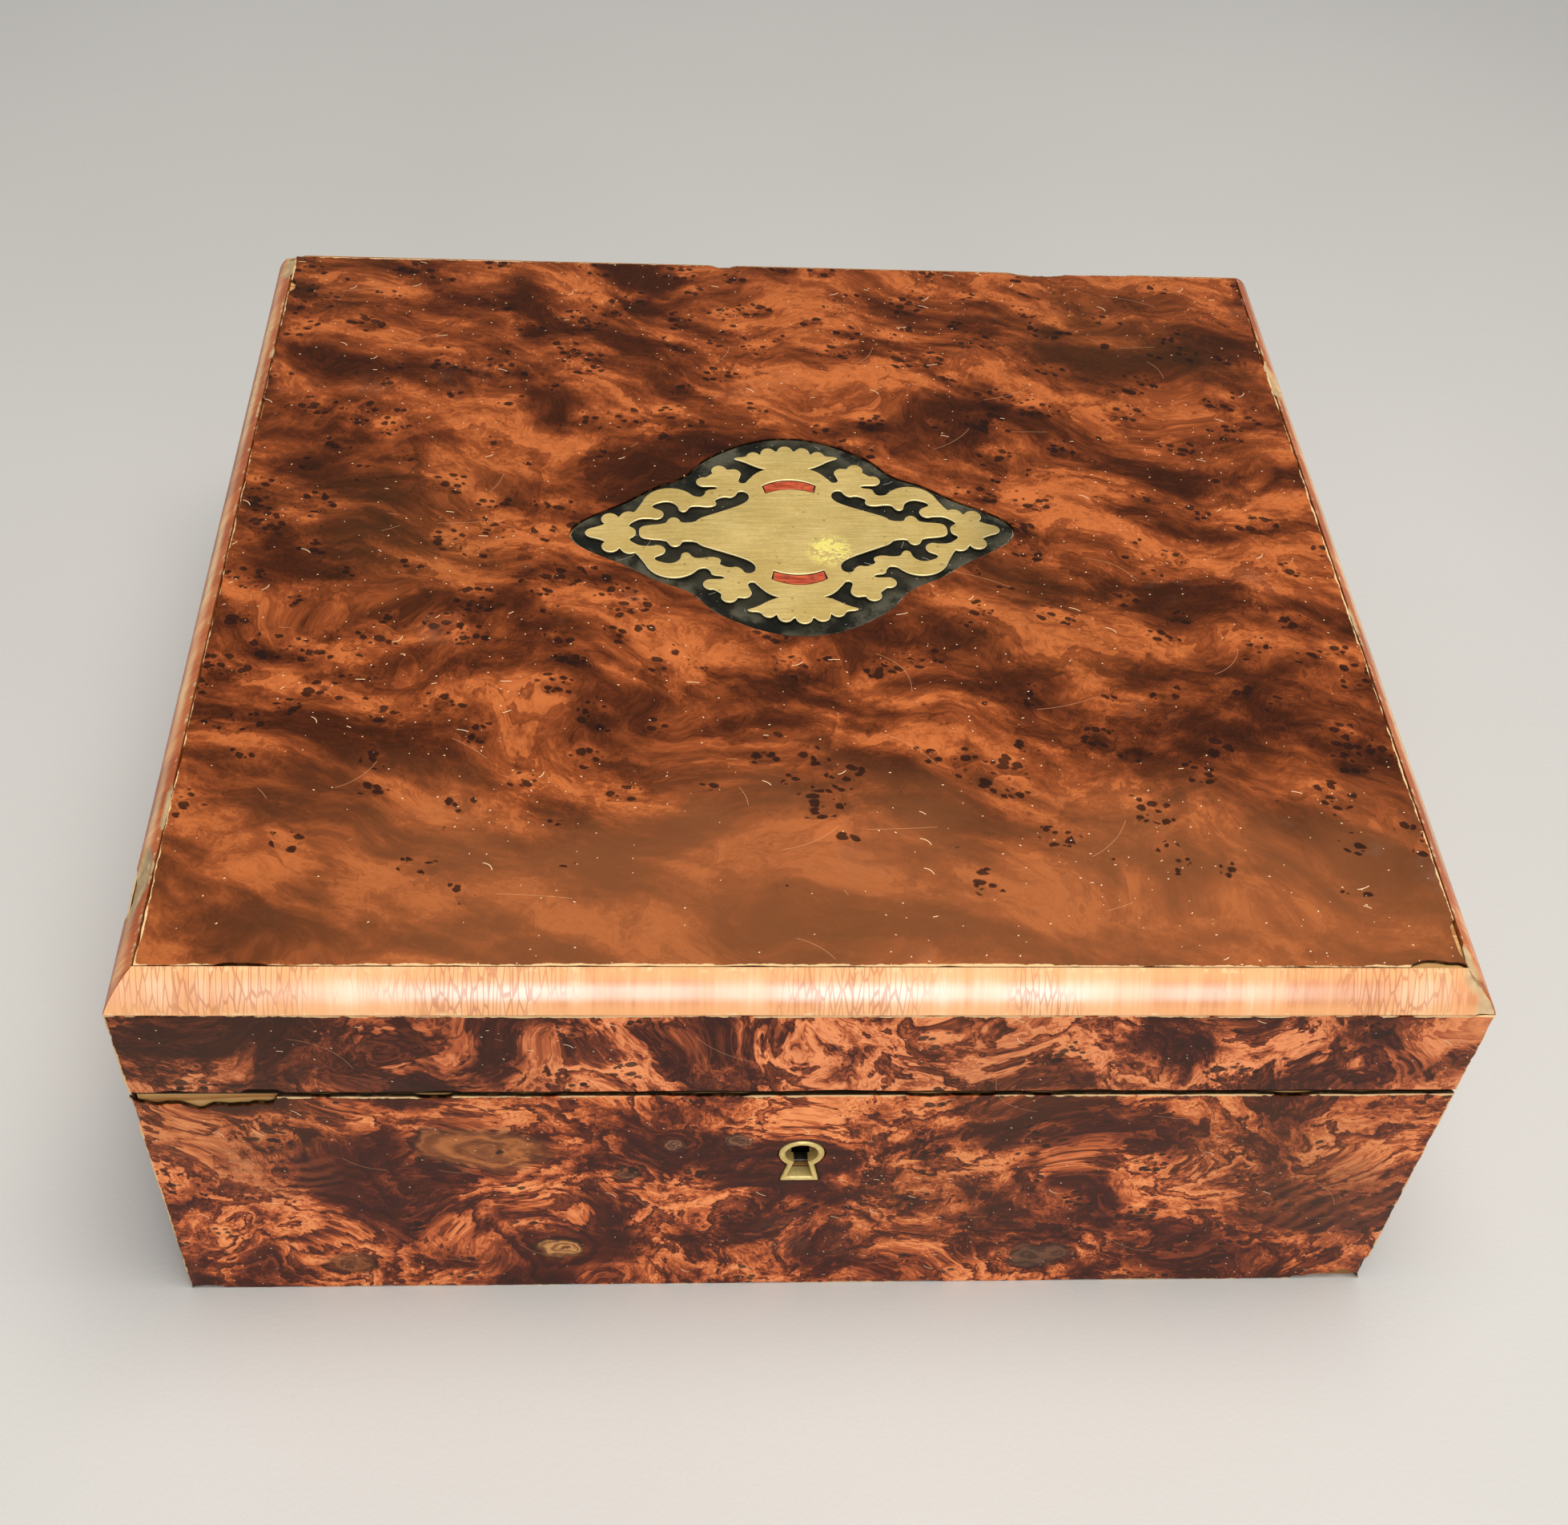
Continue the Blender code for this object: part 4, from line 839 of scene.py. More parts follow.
# ---------------------------------------------------------------- lid veneers
# The four upright bands were cut from the same leaf as the body's sides. The top is one leaf, quieter
# near the front, with flocks of pips elsewhere, and a bed cut through it for the cartouche.
def top_pips(tree, place):
    """Flocks of pips crowd the middle and the back of the lid, and thin out towards its front."""
    axis = parts_of(tree, place)
    patchy = rise(tree, clouds(tree, place, 15.0, 1.0)["Fac"], 0.38, 0.56, 0.7, 1.0)
    thick = calc(tree, "MAXIMUM", patchy, rise(tree, axis["X"], -0.06, -0.10))
    sparse = rise(tree, axis["Y"], middle_y - 0.108, middle_y - 0.072, 0.12, 1.0)
    return calc(tree, "MULTIPLY", sparse, thick)


def top_ribbons(tree, place):
    """The figure is quiet in a wide strip along the front of the lid."""
    depth = parts_of(tree, place)["Y"]
    return rise(tree, depth, middle_y - 0.115, middle_y - 0.05, 0.2, 0.36)


def front_painted_sheen(tree, place):
    """Where the painted sheen lies: a strip along the front of the lid, standing in for light reflected off
    the polish there, weaker at its left end.
    """
    axis = parts_of(tree, place)
    edge = calc(tree, "MULTIPLY_ADD", clouds(tree, place, 24.0, 4.0, 0.6)["Fac"], 0.06, axis["Y"])
    strip = rise(tree, edge, middle_y - 0.030, middle_y - 0.065)
    return calc(tree, "MULTIPLY", strip, rise(tree, axis["X"], -0.125, -0.055, 0.15, 0.55))


top_tints = [
    (0.00, (42, 17, 5)), (0.25, (78, 34, 12)), (0.50, (108, 51, 21)),
    (0.75, (138, 68, 31)), (1.00, (186, 102, 52)),
]
top_low, top_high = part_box("lid_top_veneer")
top_burr = burr_veneer(
    "burr veneer of the lid's top", 0.30, (30.0, 72.0, 72.0), 1.1, 3.6, top_pips, top_ribbons, top_tints,
    top_low, top_high, painted_sheen=((142, 84, 47), front_painted_sheen),
)
band_burrs = {}
for side, way in (("front", 0.0), ("back", pi), ("right", -pi / 2), ("left", pi / 2)):
    band_low, band_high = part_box(f"lid_{side}_veneer")
    band_burrs[side] = burr_veneer(
        f"burr veneer of the lid's {side} band", way, side_flow, side_swirl, side_bands, some_pips,
        strong_ribbons, front_tints, band_low - Vector((0.0, 0.0, 0.001)), band_high,
    )
half_moon = [(0.0263, 0.0038, 0.0021), (0.009, 0.003, 0.0007), (0.062, 0.004, 0.0006)]
band_sheets = [
    ("front", 41.3, 0.0005, [half_moon, [], [], []]),
    ("back", 53.9, 0.0, [[], [], [(0.07, 0.006, 0.0008)], []]),
    ("right", 61.1, 0.0, [[(0.012, 0.005, 0.0012)], [], [], []]),
    ("left", 73.3, 0.0, [[(0.22, 0.004, 0.0010)], [], [], []]),
]
for side, seed, lift, bites in band_sheets:
    side_veneer(
        f"lid_{side}_band", f"lid_{side}_veneer", side, bites, band_burrs[side], "lid", seed, lift=lift,
    )

# The cartouche was drawn in millimetres on a ground 105.6 mm long; the plan is mirrored four ways.
ground_low, ground_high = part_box("cartouche_ground")
cartouche_turn = radians(2.0)
cartouche_scale = 0.001
cartouche_spot = (ground_low + ground_high) / 2


def mirrored_four_ways(quarter):
    """A closed outline from the quarter of it that runs from the X axis to the Y axis."""
    half = quarter + [(-x, y) for x, y in reversed(quarter[:-1])]
    return half + [(x, -y) for x, y in reversed(half[1:-1])]


def rounded(loop, times=2):
    """Cuts every corner of a loop, so that straight runs turn into curves."""
    for _ in range(times):
        softer = []
        for (x0, y0), (x1, y1) in zip(loop, loop[1:] + loop[:1]):
            softer.append((x0 * 0.75 + x1 * 0.25, y0 * 0.75 + y1 * 0.25))
            softer.append((x0 * 0.25 + x1 * 0.75, y0 * 0.25 + y1 * 0.75))
        loop = softer
    return loop


def ground_outline(grow=0.0):
    """The lozenge of the ground, with a cusp on each shoulder, in millimetres."""
    shoulder = [
        (52.8, 0.0), (51.6, 3.0), (49.4, 5.2), (45.0, 8.2), (40.0, 11.0), (36.0, 14.2), (32.0, 17.2),
        (27.6, 19.2), (24.4, 21.4), (22.4, 24.4), (20.0, 27.4), (15.6, 30.6), (11.0, 33.2), (5.6, 35.2),
        (0.0, 35.8),
    ]
    loop = rounded(mirrored_four_ways(shoulder), 2)
    return [(x * (1 + grow / 45.0), y * (1 + grow / 45.0)) for x, y in loop]


def inlaid():
    """Carries the cartouche's plan to its place in the lid, at full height."""
    place = Matrix.Translation((cartouche_spot.x, cartouche_spot.y, 0.0))
    return place @ Matrix.Rotation(cartouche_turn, 4, "Z")


def plan_on_lid(loop):
    """A loop of the cartouche's plan, in metres from the lid's middle."""
    seat = inlaid()
    spots = [seat @ Vector((x * cartouche_scale, y * cartouche_scale, 0.0)) for x, y in loop]
    return [(spot.x, spot.y) for spot in spots]


top_bites = [
    [(0.252, 0.006, 0.0020), (0.020, 0.005, 0.0008)], [(0.006, 0.006, 0.0018), (0.20, 0.005, 0.0009)],
    [(0.20, 0.010, 0.0012), (0.116, 0.003, 0.0010)], [(0.226, 0.003, 0.0016), (0.172, 0.005, 0.0008)],
]
top_outline = worn_rectangle((top_low.x, top_low.y), (top_high.x, top_high.y), top_bites, 0.0003, 87.7)
top_sheet = cut_sheet(
    [top_outline, plan_on_lid(ground_outline(0.3))], top_low.z, top_high.z, Matrix(), 0.00012,
)
add_piece("lid_top_sheet", top_sheet, top_burr, "lid", ["lid_top_veneer"])


# ---------------------------------------------------------------- lid mouldings
# Four solid strips of pale rosewood-coloured timber, mitred at the corners, with the grain running
# across them. Their faces bow out a little; the polish has crazed and the edges have lost chips.
shoulder_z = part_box("lid_front_chamfer")[0].z
crest_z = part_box("lid_front_chamfer")[1].z
chamfer_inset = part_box("lid_front_chamfer")[1].y - front_y
mitre_gap = 0.0001


def crossband(name, turn, half, woods, rim_tint, sheen_band_tint, gloss):
    """Cross-grained strip: deeper at both edges, a pale band of painted sheen along the middle, and fine
    crazing.
    """
    made, tree, shader, place = new_material(name, 0.32)
    shader.inputs["Specular IOR Level"].default_value = gloss
    shader.inputs["Coat Roughness"].default_value = 0.22
    along = turned_place(tree, place, turn)
    axis = parts_of(tree, place)
    level = rise(tree, axis["Z"], shoulder_z, crest_z)
    grain_place = move(tree, "MULTIPLY", along, (900.0, 40.0, 40.0))
    grain = clouds(tree, grain_place, 1.0, 3.0, 0.6)["Fac"]
    staves = clouds(tree, move(tree, "MULTIPLY", along, (55.0, 6.0, 6.0)), 1.0, 3.0, 0.7)["Fac"]
    wood = shades(tree, rise(tree, calc(tree, "MULTIPLY_ADD", grain, 0.35, staves), 0.45, 0.92), woods)
    lower = rise(tree, level, 0.02, 0.30, 1.0, 0.0)
    upper = rise(tree, level, 0.78, 0.98)
    edges = calc(tree, "MULTIPLY", calc(tree, "MAXIMUM", lower, upper), 0.65)
    edged = over(tree, edges, wood, colour(*rim_tint))
    far = calc(tree, "ABSOLUTE", parts_of(tree, along)["X"])
    middle_run = rise(tree, far, half * 0.95, half * 0.35)
    wander = clouds(tree, along, 40.0, 3.0)["Fac"]
    # Painted sheen: a pale band along the middle of the face, fading towards the strip's ends and patchy,
    # standing in for light reflected off the bowed face.
    belly = calc(tree, "MULTIPLY", rise(tree, level, 0.15, 0.45), rise(tree, level, 0.9, 0.6))
    even = calc(tree, "MULTIPLY", belly, middle_run)
    sheen_band = calc(tree, "MULTIPLY", even, rise(tree, wander, 0.3, 0.6, 0.35, 1.0))
    sheen_banded = over(tree, calc(tree, "MULTIPLY", sheen_band, 0.75), edged, colour(*sheen_band_tint))
    cracks = cells(tree, move(tree, "MULTIPLY", along, (950.0, 150.0, 150.0)), 1.0, "DISTANCE_TO_EDGE")
    open_cracks = rise(tree, cracks["Distance"], 0.10, 0.02)
    crazed = calc(tree, "MULTIPLY", open_cracks, rise(tree, wander, 0.42, 0.62))
    lined = over(tree, calc(tree, "MULTIPLY", crazed, 0.5), sheen_banded, colour(168, 96, 66))
    ragged = clouds(tree, place, 420.0, 3.0, 0.6)["Fac"]
    rim = calc(tree, "MAXIMUM", rise(tree, level, 0.03, 0.0), rise(tree, level, 0.965, 1.0))
    chipped = calc(tree, "MULTIPLY", rim, rise(tree, ragged, 0.54, 0.64, 0.0, 0.8))
    pale = over(tree, chipped, lined, colour(232, 196, 146))
    bare = add_node(tree, "Attribute", attribute_name="bare").outputs["Fac"]
    stripped = over(tree, bare, pale, over(tree, ragged, colour(150, 126, 96), colour(226, 194, 146)))
    feed(
        tree, shader, Base_Color=stripped,
        Roughness=calc(tree, "MULTIPLY_ADD", bare, 0.4, rise(tree, grain, 0.2, 0.8, 0.26, 0.40)),
        Coat_Weight=calc(tree, "MULTIPLY", calc(tree, "SUBTRACT", 1.0, bare), gloss),
    )
    depth = calc(tree, "MULTIPLY_ADD", crazed, -0.5, calc(tree, "MULTIPLY", grain, 0.25))
    emboss(tree, shader, calc(tree, "MULTIPLY_ADD", wander, 0.7, depth), 0.00035, 0.5)
    return made


def moulding(name, node, turn, reach, half, chips, finish):
    """A mitred strip with a bowed face. A chip is its place along the strip and up it, its half length
    and half height, and its depth, all in metres."""
    steps = 10
    swell = 0.0006
    rising = crest_z - shoulder_z
    slope = (chamfer_inset**2 + rising**2) ** 0.5
    bm = bmesh.new()
    face = []
    for step in range(steps + 1):
        share = step / steps
        bow = 4 * swell * share * (1 - share)
        inset = chamfer_inset * share - bow * rising / slope
        height = shoulder_z + rising * share + bow * chamfer_inset / slope
        face.append(bm.verts.new((-half, -reach + max(inset, 0.0), height)))
    face.append(bm.verts.new((-half, -reach + chamfer_inset, shoulder_z)))
    end = bm.faces.new(face)
    grown = bmesh.ops.extrude_face_region(bm, geom=[end])
    moved = [part for part in grown["geom"] if isinstance(part, bmesh.types.BMVert)]
    bmesh.ops.translate(bm, vec=(2 * half, 0, 0), verts=moved)
    runs = [edge for edge in bm.edges if abs(edge.verts[0].co.x - edge.verts[1].co.x) > half]
    bmesh.ops.subdivide_edges(bm, edges=runs, cuts=round(half * 2 / 0.0011), use_grid_fill=True)
    for sign in (-1, 1):
        corner = (sign * (half - mitre_gap), -reach, 0.0)
        cut_face = bmesh.ops.bisect_plane(
            bm, geom=bm.verts[:] + bm.edges[:] + bm.faces[:], plane_co=corner,
            plane_no=(sign * 1.0, 1.0, 0.0), clear_outer=True,
        )
        rim = [part for part in cut_face["geom_cut"] if isinstance(part, bmesh.types.BMEdge)]
        bmesh.ops.edgenet_fill(bm, edges=rim)
    bare = bm.verts.layers.float.new("bare")
    for vert in bm.verts:
        x, y, z = vert.co
        rough = noise.fractal(vert.co * 900.0, 1.0, 2.0, 3)
        wave = noise.noise(Vector((x * 30.0, turn, 2.0)))
        up = z - shoulder_z
        if y < -reach + chamfer_inset - 1e-5 or up > rising - 1e-5:
            vert.co.y += 0.00010 * wave * (1 if up < rising * 0.9 else 0)
        for along, height, half_long, half_high, depth in chips:
            inside = 1 - ((x - along) / half_long) ** 2 - ((up - height) / half_high) ** 2
            if inside > 0 and (y < -reach + chamfer_inset - 1e-5 or up > rising - 1e-5):
                bite = min(1.0, inside * 2.2) * depth * (0.8 + 0.4 * rough)
                vert.co.y += bite * 0.75
                vert.co.z -= bite * 0.6 * min(1.0, up / rising + 0.1)
                vert[bare] = min(1.0, inside * 5.0)
    bmesh.ops.rotate(bm, cent=(0, 0, 0), matrix=Matrix.Rotation(turn, 3, "Z"), verts=bm.verts)
    bmesh.ops.translate(bm, vec=(0, middle_y, 0), verts=bm.verts)
    add_piece(name, bm, finish, "lid", [node], 40.0)


# The front and back strips take paler tints than the left and right ones, though the timber is the same:
# painted sheen for the light reflected off them.
band_front = crossband(
    "cross-grained moulding lengthways", 0.0, half_length,
    [(0.0, (196, 124, 78)), (0.35, (222, 156, 108)), (0.7, (236, 180, 138)), (1.0, (246, 206, 172))],
    (234, 172, 116), (242, 224, 212), 0.3,
)
band_side = crossband(
    "cross-grained moulding crossways", pi / 2, half_depth * 1.3,
    [(0.0, (150, 66, 30)), (0.35, (192, 98, 50)), (0.7, (222, 132, 76)), (1.0, (246, 186, 122))],
    (170, 84, 36), (255, 228, 170), 0.07,
)
rise_of_strip = crest_z - shoulder_z
moulding(
    "front_moulding", "lid_front_chamfer", 0.0, half_depth, half_length,
    [(0.1325, 0.0070, 0.0045, 0.0040, 0.0012), (0.1335, 0.0015, 0.003, 0.003, 0.0006)], band_front,
)
moulding(
    "back_moulding", "lid_back_chamfer", pi, half_depth, half_length,
    [(-0.082, rise_of_strip, 0.0170, 0.0030, 0.0012), (0.0137, rise_of_strip, 0.003, 0.0020, 0.0009),
     (0.1320, rise_of_strip, 0.0050, 0.0050, 0.0012)], band_front,
)
moulding(
    "left_moulding", "lid_left_chamfer", -pi / 2, half_length, half_depth,
    [(0.0965, 0.0030, 0.0095, 0.0042, 0.0013), (0.080, rise_of_strip, 0.006, 0.0012, 0.0004),
     (-0.1180, rise_of_strip, 0.0070, 0.0040, 0.0010), (-0.076, rise_of_strip, 0.0020, 0.0012, 0.0005)],
    band_side,
)
moulding(
    "right_moulding", "lid_right_chamfer", pi / 2, half_length, half_depth,
    [(0.0733, rise_of_strip, 0.0075, 0.0034, 0.0011), (-0.020, rise_of_strip, 0.005, 0.001, 0.0004),
     (-0.1200, rise_of_strip, 0.0060, 0.0022, 0.0008)], band_side,
)


# ---------------------------------------------------------------- cartouche
# A lozenge of blackened wood let into the top, with a fret-sawn brass plate over it and two slips of
# red-stained horn in the plate's windows. The plate was brushed lengthways and has dulled unevenly.
brass_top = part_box("cartouche_brass")[1].z
black_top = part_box("cartouche_ground")[1].z


def blackened_wood():
    """Black stain in an oily gloss, rubbed grey at the rim, with dust in its low places."""
    made, tree, shader, place = new_material("blackened ground", 0.3)
    shader.inputs["Specular IOR Level"].default_value = 0.2
    marks = placed_group(tree, age_marks, {"Vector": place, "Nicks": 0.5, "Scratches": 0.6})
    uneven = clouds(tree, place, 120.0, 4.0, 0.6)["Fac"]
    base = over(tree, rise(tree, uneven, 0.35, 0.7), colour(16, 16, 11), colour(44, 41, 29))
    centred = add_node(tree, "Mapping", {
        "Vector": place, "Location": (-cartouche_spot.x, -cartouche_spot.y, 0.0),
    }).outputs["Vector"]
    spread = parts_of(tree, move(tree, "ABSOLUTE", centred))
    lozenge = calc(tree, "MULTIPLY_ADD", spread["Y"], 1.42, spread["X"])
    rubbed = calc(tree, "MULTIPLY", rise(tree, lozenge, 0.047, 0.056), rise(tree, uneven, 0.45, 0.62))
    greyed = over(tree, calc(tree, "MULTIPLY", rubbed, 0.5), base, colour(98, 94, 78))
    sunk = calc(tree, "SUBTRACT", black_top, parts_of(tree, place)["Z"])
    ragged = rise(tree, clouds(tree, place, 420.0, 3.0, 0.6)["Fac"], 0.44, 0.56, 0.1, 0.85)
    frayed = calc(tree, "MULTIPLY", rise(tree, sunk, 0.00002, 0.00006), ragged)
    rimmed = over(tree, frayed, greyed, colour(168, 160, 136))
    lines = calc(tree, "MAXIMUM", marks["Scratch"], calc(tree, "MULTIPLY", marks["Nick"], 0.8))
    scored = over(tree, calc(tree, "MULTIPLY", lines, 0.55), rimmed, colour(196, 188, 170))
    feed(tree, shader, Base_Color=scored, Roughness=rise(tree, uneven, 0.3, 0.7, 0.22, 0.5))
    emboss(tree, shader, calc(tree, "MULTIPLY_ADD", lines, 0.4, uneven), 0.0004, 0.6)
    return made


def fret_brass():
    """Olive-gold brass with lengthways brush marks, mottled tarnish, one bright rubbed patch, a painted
    highlight on its arrises and painted shade down its cut sides."""
    made, tree, shader, place = new_material("brushed brass of the cartouche", 0.42, 1.0)
    mapping = {
        "Vector": place, "Location": (-cartouche_spot.x, -cartouche_spot.y, 0.0),
        "Rotation": (0.0, 0.0, -cartouche_turn),
    }
    centred = add_node(tree, "Mapping", mapping).outputs["Vector"]
    wear = placed_group(tree, metal_wear, {"Vector": centred, "Grain": 1500.0})
    film = rise(tree, clouds(tree, centred, 34.0, 3.0, 0.55)["Fac"], 0.36, 0.64)
    base = over(tree, wear["Tarnish"], colour(250, 220, 142), colour(204, 174, 98))
    filmed = over(tree, calc(tree, "MULTIPLY", film, 0.38), base, colour(172, 144, 82))
    brushed = over(tree, rise(tree, wear["Hairline"], 0.38, 0.66, 0.0, 0.36), filmed, colour(142, 118, 62))
    gap = move(tree, "MULTIPLY", move(tree, "SUBTRACT", centred, (0.0082, -0.0072, 0.0)), (1.0, 1.0, 0.0))
    away = add_node(tree, "VectorMath", {0: gap}, operation="LENGTH").outputs["Value"]
    curdled = clouds(tree, centred, 620.0, 4.0, 0.7)["Fac"]
    patch = calc(tree, "MULTIPLY", rise(tree, away, 0.0070, 0.0030), rise(tree, curdled, 0.44, 0.56))
    gilt = over(tree, patch, brushed, colour(255, 238, 128))
    across = parts_of(tree, centred)
    # Darker towards one end of the plate.
    brown_end = calc(tree, "MULTIPLY", rise(tree, across["X"], 0.036, 0.050), 0.45)
    darker_end = over(tree, brown_end, gilt, colour(122, 104, 62))
    freckles = over(tree, calc(tree, "MULTIPLY", wear["Spot"], 0.45), darker_end, colour(92, 74, 34))
    # Painted highlight on the bevelled arrises just below the top, and painted shade further down the plate's
    # cut sides, standing in for the light caught by its raised edges and the shade round them.
    sunk = calc(tree, "SUBTRACT", brass_top, across["Z"])
    rim_highlight = over(tree, rise(tree, sunk, 0.00001, 0.00006, 0.0, 0.75), freckles, colour(255, 240, 184))
    shaded_sides = over(tree, rise(tree, sunk, 0.00019, 0.00025, 0.0, 0.8), rim_highlight, colour(74, 60, 32))
    rough = calc(tree, "MULTIPLY_ADD", wear["Tarnish"], 0.16, 0.34)
    feed(
        tree, shader, Base_Color=shaded_sides, Roughness=calc(tree, "MULTIPLY_ADD", patch, -0.1, rough),
        Metallic=rise(tree, film, 0.0, 1.0, 0.62, 0.35),
    )
    bumps = calc(tree, "MULTIPLY_ADD", wear["Hairline"], 0.35, calc(tree, "MULTIPLY", patch, 0.8))
    dents = clouds(tree, centred, 90.0, 2.0)["Fac"]
    emboss(tree, shader, calc(tree, "MULTIPLY_ADD", dents, 1.2, bumps), 0.00012, 0.7)
    return made


def stained_horn():
    """Orange-red horn with dark grain and darker blotches."""
    made, tree, shader, place = new_material("red slip", 0.34)
    streaks = clouds(tree, move(tree, "MULTIPLY", place, (160.0, 900.0, 900.0)), 1.0, 4.0, 0.65)["Fac"]
    base = over(tree, rise(tree, streaks, 0.35, 0.65), colour(140, 44, 18), colour(196, 84, 42))
    blotch = clouds(tree, place, 500.0, 3.0)["Fac"]
    dirty = over(tree, rise(tree, blotch, 0.55, 0.75, 0.0, 0.6), base, colour(84, 24, 14))
    feed(tree, shader, Base_Color=dirty, Roughness=rise(tree, streaks, 0.3, 0.7, 0.28, 0.46))
    emboss(tree, shader, streaks, 0.0003, 0.7)
    return made


def brass_outline():
    """Fleuron, leaf, trefoil, notch and lobed palmette, from the right tip round to the crown."""
    fleuron = [(49.4, 0.0), (48.6, 1.4), (46.2, 2.2)] + arc(43.3, 4.9, 2.1, -55, 165, 14)
    leaf = arc(38.8, 5.4, 2.2, 35, 125, 6) + arc(28.9, 9.4, 6.8, 15, 145, 16)
    gap = [(22.4, 12.9), (21.3, 12.9), (20.5, 13.9), (20.2, 15.4), (17.4, 15.8), (17.5, 16.7)]
    trefoil = arc(20.6, 18.5, 1.8, -95, 110, 12) + arc(16.6, 22.8, 1.9, -30, 170, 14)
    trefoil += arc(13.2, 21.5, 1.8, 65, 200, 9)
    notch = arc(11.1, 18.9, 1.0, 5, -165, 10) + [(9.2, 19.9), (8.0, 21.5), (6.2, 22.8), (4.9, 23.1)]
    horn = [(6.4, 23.6), (8.2, 24.6), (10.4, 26.2), (12.9, 27.2), (12.2, 27.9), (10.3, 28.0)]
    crown = arc(7.9, 28.2, 1.7, 10, 150, 9) + [(6.2, 28.8)] + arc(4.2, 29.6, 1.8, 5, 150, 10)
    crown += [(2.3, 30.1)] + arc(0.0, 30.2, 1.9, 0, 90, 8)
    return mirrored_four_ways(fleuron + leaf + gap + trefoil + notch + horn + crown)


def slot_outline():
    """The pierced arrow-shaped slot on the right, between the inner plate and the leaves."""
    outer = [(37.3, 0.0), (37.5, 1.3), (39.1, 2.4), (38.0, 3.7), (36.2, 4.9), (34.2, 4.9)]
    outer += arc(32.5, 6.5, 1.9, -60, -235, 10) + [(33.4, 9.1), (32.7, 10.2)]
    outer += arc(29.9, 8.2, 2.9, 70, 165, 7) + arc(25.9, 8.4, 1.1, 0, -150, 8)
    outer += [(24.2, 9.2), (22.5, 9.4), (20.0, 8.9), (18.2, 9.4), (17.8, 10.4), (18.3, 11.4), (17.2, 12.3)]
    outer += [(15.8, 12.8), (14.3, 12.4), (13.1, 13.3), (12.6, 14.6), (11.3, 14.9), (10.1, 14.0)]
    inner = [(9.9, 12.3), (10.8, 10.8), (13.0, 9.3), (16.5, 7.6), (20.0, 6.0), (22.3, 4.9), (23.4, 3.5)]
    inner += [(26.4, 3.3)] + arc(28.3, 3.8, 1.5, 165, 15, 8) + [(30.4, 3.0), (35.0, 2.5), (36.4, 1.7)]
    upper = outer + inner
    return upper + [(36.6, 0.0)] + [(x, -y) for x, y in reversed(upper[1:])]


def slip_outline(inset, flip):
    """An arched slip, or with no inset the window that it fills."""
    outer_radius = 11.2 - inset
    inner_radius = 12.7 + inset
    outer_half = 36.0 - degrees(inset / outer_radius)
    inner_half = 27.7 - degrees(inset / inner_radius)
    outer = arc(0.0, 7.8, outer_radius, 90 - outer_half, 90 + outer_half, 16)
    inner = arc(0.0, 2.7, inner_radius, 90 + inner_half, 90 - inner_half, 16)
    return [(x, flip * y) for x, y in outer + inner]


def cut_in_place(loops, node, softening):
    """A sheet cut to the plan's outlines, at the height of the CAD node that it stands for."""
    low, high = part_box(node)
    plan_to_lid = inlaid() @ Matrix.Scale(cartouche_scale, 4)
    return cut_sheet(loops, low.z / cartouche_scale, high.z / cartouche_scale, plan_to_lid, softening)


ground_piece = cut_in_place([ground_outline()], "cartouche_ground", 0.2)
add_piece("cartouche_bed", ground_piece, blackened_wood(), "lid", ["cartouche_ground"])
slot = rounded(slot_outline(), 1)
windows = [slot, [(-x, y) for x, y in slot], slip_outline(0.0, 1), slip_outline(0.0, -1)]
plate = cut_in_place([rounded(brass_outline(), 1)] + windows, "cartouche_brass", 0.2)
add_piece("fret_plate", plate, fret_brass(), "lid", ["cartouche_brass"])
horn = stained_horn()
for name, node, flip in (("back_slip", "cartouche_back_slip", 1), ("front_slip", "cartouche_front_slip", -1)):
    slip = cut_in_place([slip_outline(0.3, flip)], node, 0.12)
    add_piece(name, slip, horn, "lid", [node])


# ---------------------------------------------------------------- lid's half of the lock, and its lining
# A brass plate with two eyed staples, screwed up into the front rail. The lid's lining is velvet over
# wadding like the floor's, with its soft face downwards.
softened("staple_plate", "lock_link_plate", old_brass, "lid", 0.0002)
for side in ("left", "right"):
    softened(f"staple_plate_screw_{side}", f"link_screw_{side}", old_brass, "lid", 0.0001)
lid_pad = cushion(*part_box("lining_lid_pad"), (2, -1), 0.0022, 9.0)
cover = add_piece("lid_cushion", lid_pad, crimson_velvet, "lid", ["lining_lid_pad"], 60.0)


# ---------------------------------------------------------------- hinges
# Two brass butts let into the back wall and the back rail, each with three knuckles on a steel pin and
# two countersunk screws in each leaf.
hinge_brass = metal("brass of the hinges", (198, 164, 92), (112, 88, 42), 0.36)
for side in ("left", "right"):
    for leaf, body in (("body", "body"), ("lid", "lid")):
        node = f"hinge_{side}_{leaf}_leaf"
        softened(f"butt_{side}_{leaf}_leaf", node, hinge_brass, body, 0.00015)
        for end in ("inner", "outer"):
            node = f"hinge_{side}_{leaf}_screw_{end}"
            softened(f"butt_{side}_{leaf}_screw_{end}", node, hinge_brass, body, 0.0001)
    softened(f"butt_{side}_pin", f"hinge_{side}_pin", old_steel, "body", 0.0001)


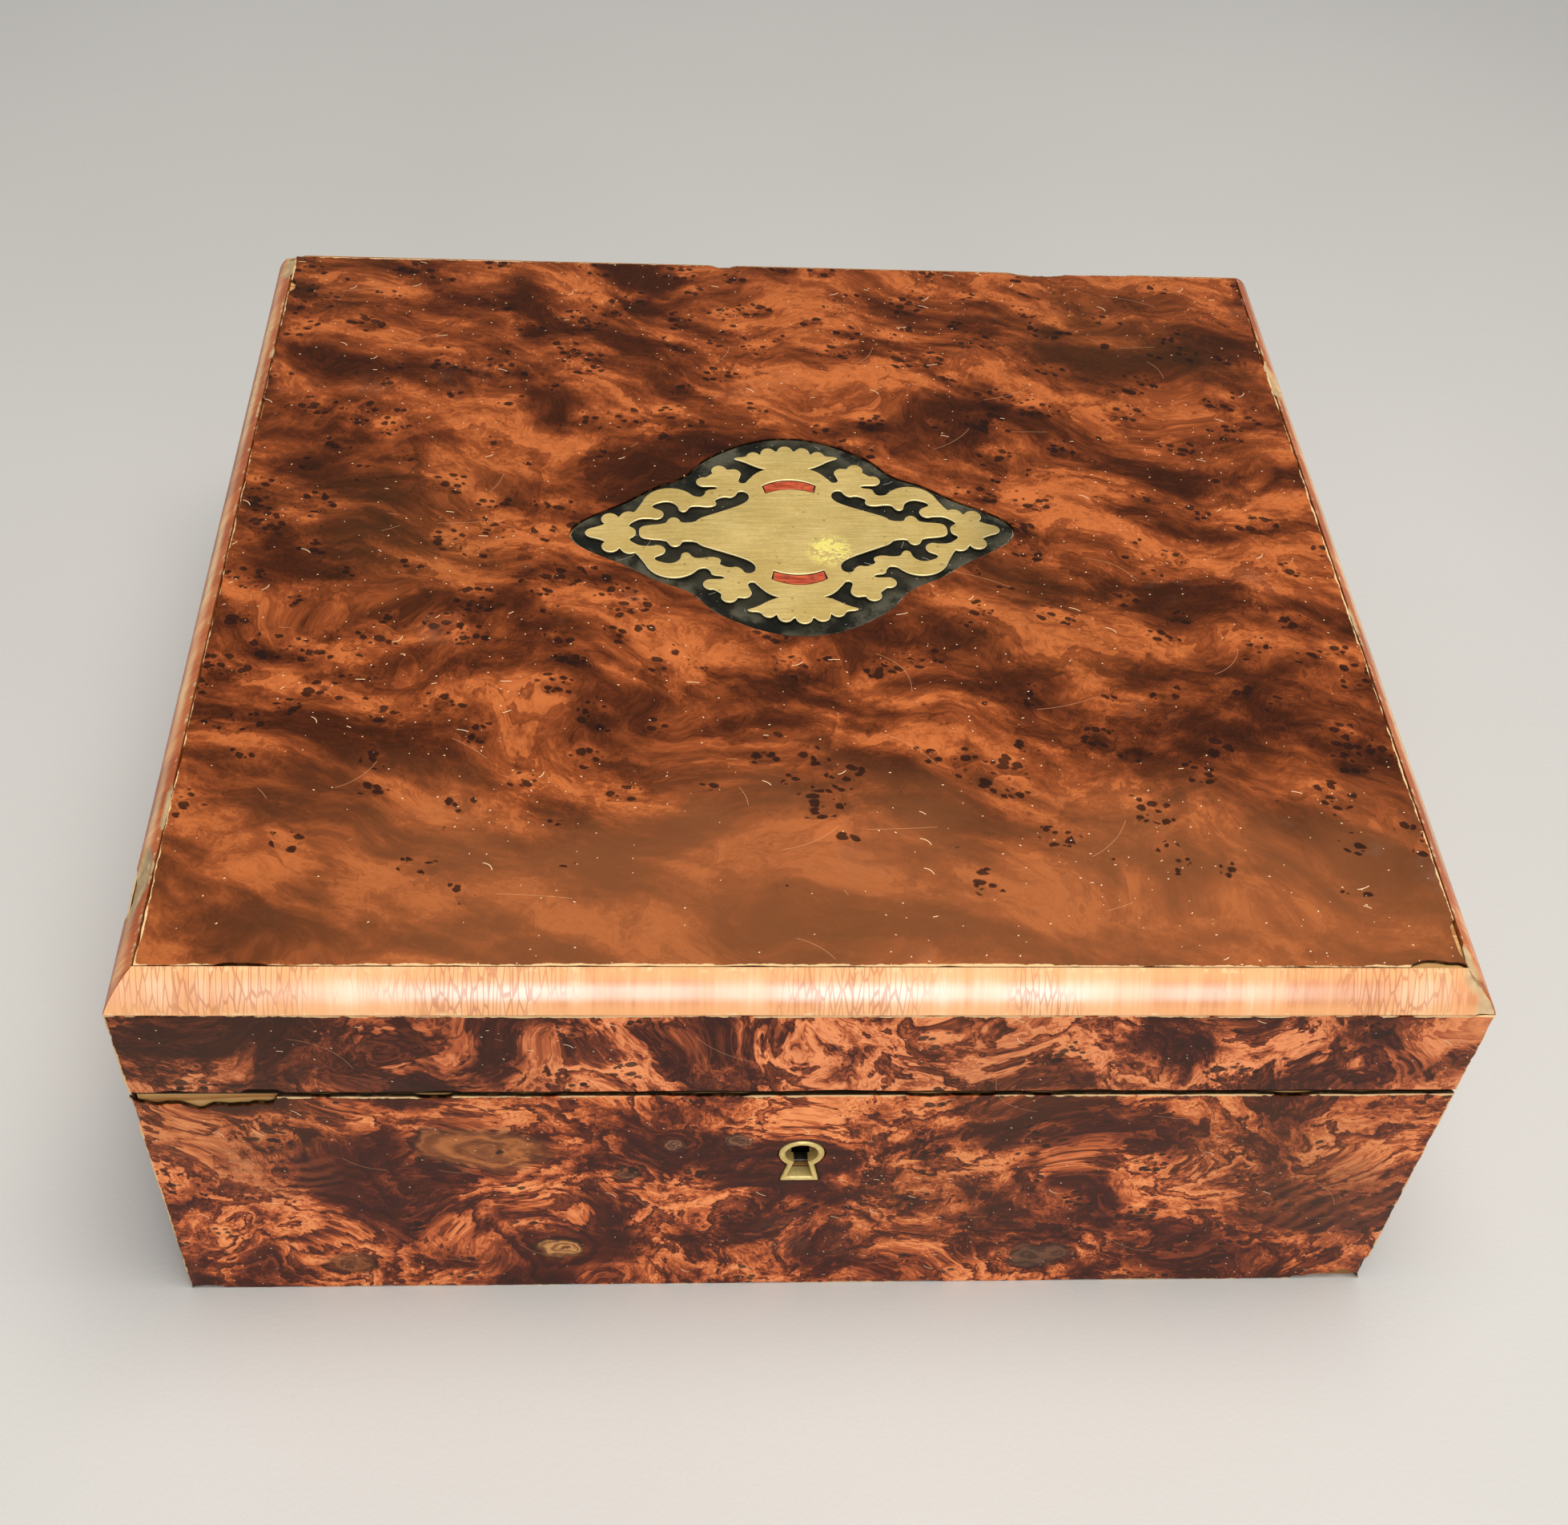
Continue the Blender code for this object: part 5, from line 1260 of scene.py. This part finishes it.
# ---------------------------------------------------------------- table, light and camera
# A plain pale table top and plain soft studio light: one broad lamp high above the box, a low one in
# front that shines on the front moulding, and a faint even sky. The camera looks down on the box.
def add_table():
    """A pale painted board, finely grained, wide enough to fill the view."""
    bm = bmesh.new()
    bmesh.ops.create_grid(bm, x_segments=1, y_segments=1, size=4.0)
    mesh = bpy.data.meshes.new("table")
    bm.to_mesh(mesh)
    bm.free()
    table = bpy.data.objects.new("table", mesh)
    bpy.context.scene.collection.objects.link(table)
    paint, tree, shader, place = new_material("pale table", 0.75)
    shader.inputs["Specular IOR Level"].default_value = 0.2
    tint = over(tree, clouds(tree, place, 5.0, 3.0)["Fac"], colour(196, 194, 190), colour(206, 204, 200))
    feed(tree, shader, Base_Color=tint)
    emboss(tree, shader, clouds(tree, place, 900.0, 2.0)["Fac"], 0.0002, 0.4)
    mesh.materials.append(paint)


def add_lamp(name, where, towards, width, height, power, tint):
    """A soft rectangular lamp turned towards a point."""
    lamp = bpy.data.lights.new(name, "AREA")
    lamp.shape = "RECTANGLE"
    lamp.size = width
    lamp.size_y = height
    lamp.energy = power
    lamp.color = tint
    stand = bpy.data.objects.new(name, lamp)
    bpy.context.scene.collection.objects.link(stand)
    aim = (Vector(towards) - Vector(where)).to_track_quat("-Z", "Y")
    stand.matrix_world = Matrix.Translation(where) @ aim.to_matrix().to_4x4()


def add_sky(strength):
    """A faint even light from all round, slightly cool."""
    sky = bpy.data.worlds.new("studio")
    sky.use_nodes = True
    behind = sky.node_tree.nodes["Background"]
    behind.inputs["Color"].default_value = (0.93, 0.96, 1.0, 1.0)
    behind.inputs["Strength"].default_value = strength
    bpy.context.scene.world = sky


def add_camera():
    """A camera in front of the box and above it, looking down, a little from the left."""
    lens = bpy.data.cameras.new("camera")
    lens.lens = 45.94
    lens.sensor_width = 36.0
    lens.sensor_fit = "HORIZONTAL"
    lens.clip_start = 0.01
    stand = bpy.data.objects.new("camera", lens)
    bpy.context.scene.collection.objects.link(stand)
    aim = Matrix.Rotation(radians(-5.422), 4, "Z") @ Matrix.Rotation(radians(43.361), 4, "X")
    aim = aim @ Matrix.Rotation(radians(4.411), 4, "Z")
    stand.matrix_world = Matrix.Translation((-0.03142, -0.35556, 0.41828)) @ aim
    bpy.context.scene.camera = stand


add_table()
add_sky(0.28)
add_lamp("high lamp", (0.10, -0.12, 1.10), (0.0, 0.0, 0.05), 0.6, 0.6, 12.0, (1.0, 0.97, 0.92))
add_lamp("low front lamp", (0.10, -1.05, 0.46), (0.0, -0.12, 0.10), 0.70, 0.34, 4.6, (1.0, 0.97, 0.94))
add_camera()
bpy.context.scene.view_settings.view_transform = "Standard"
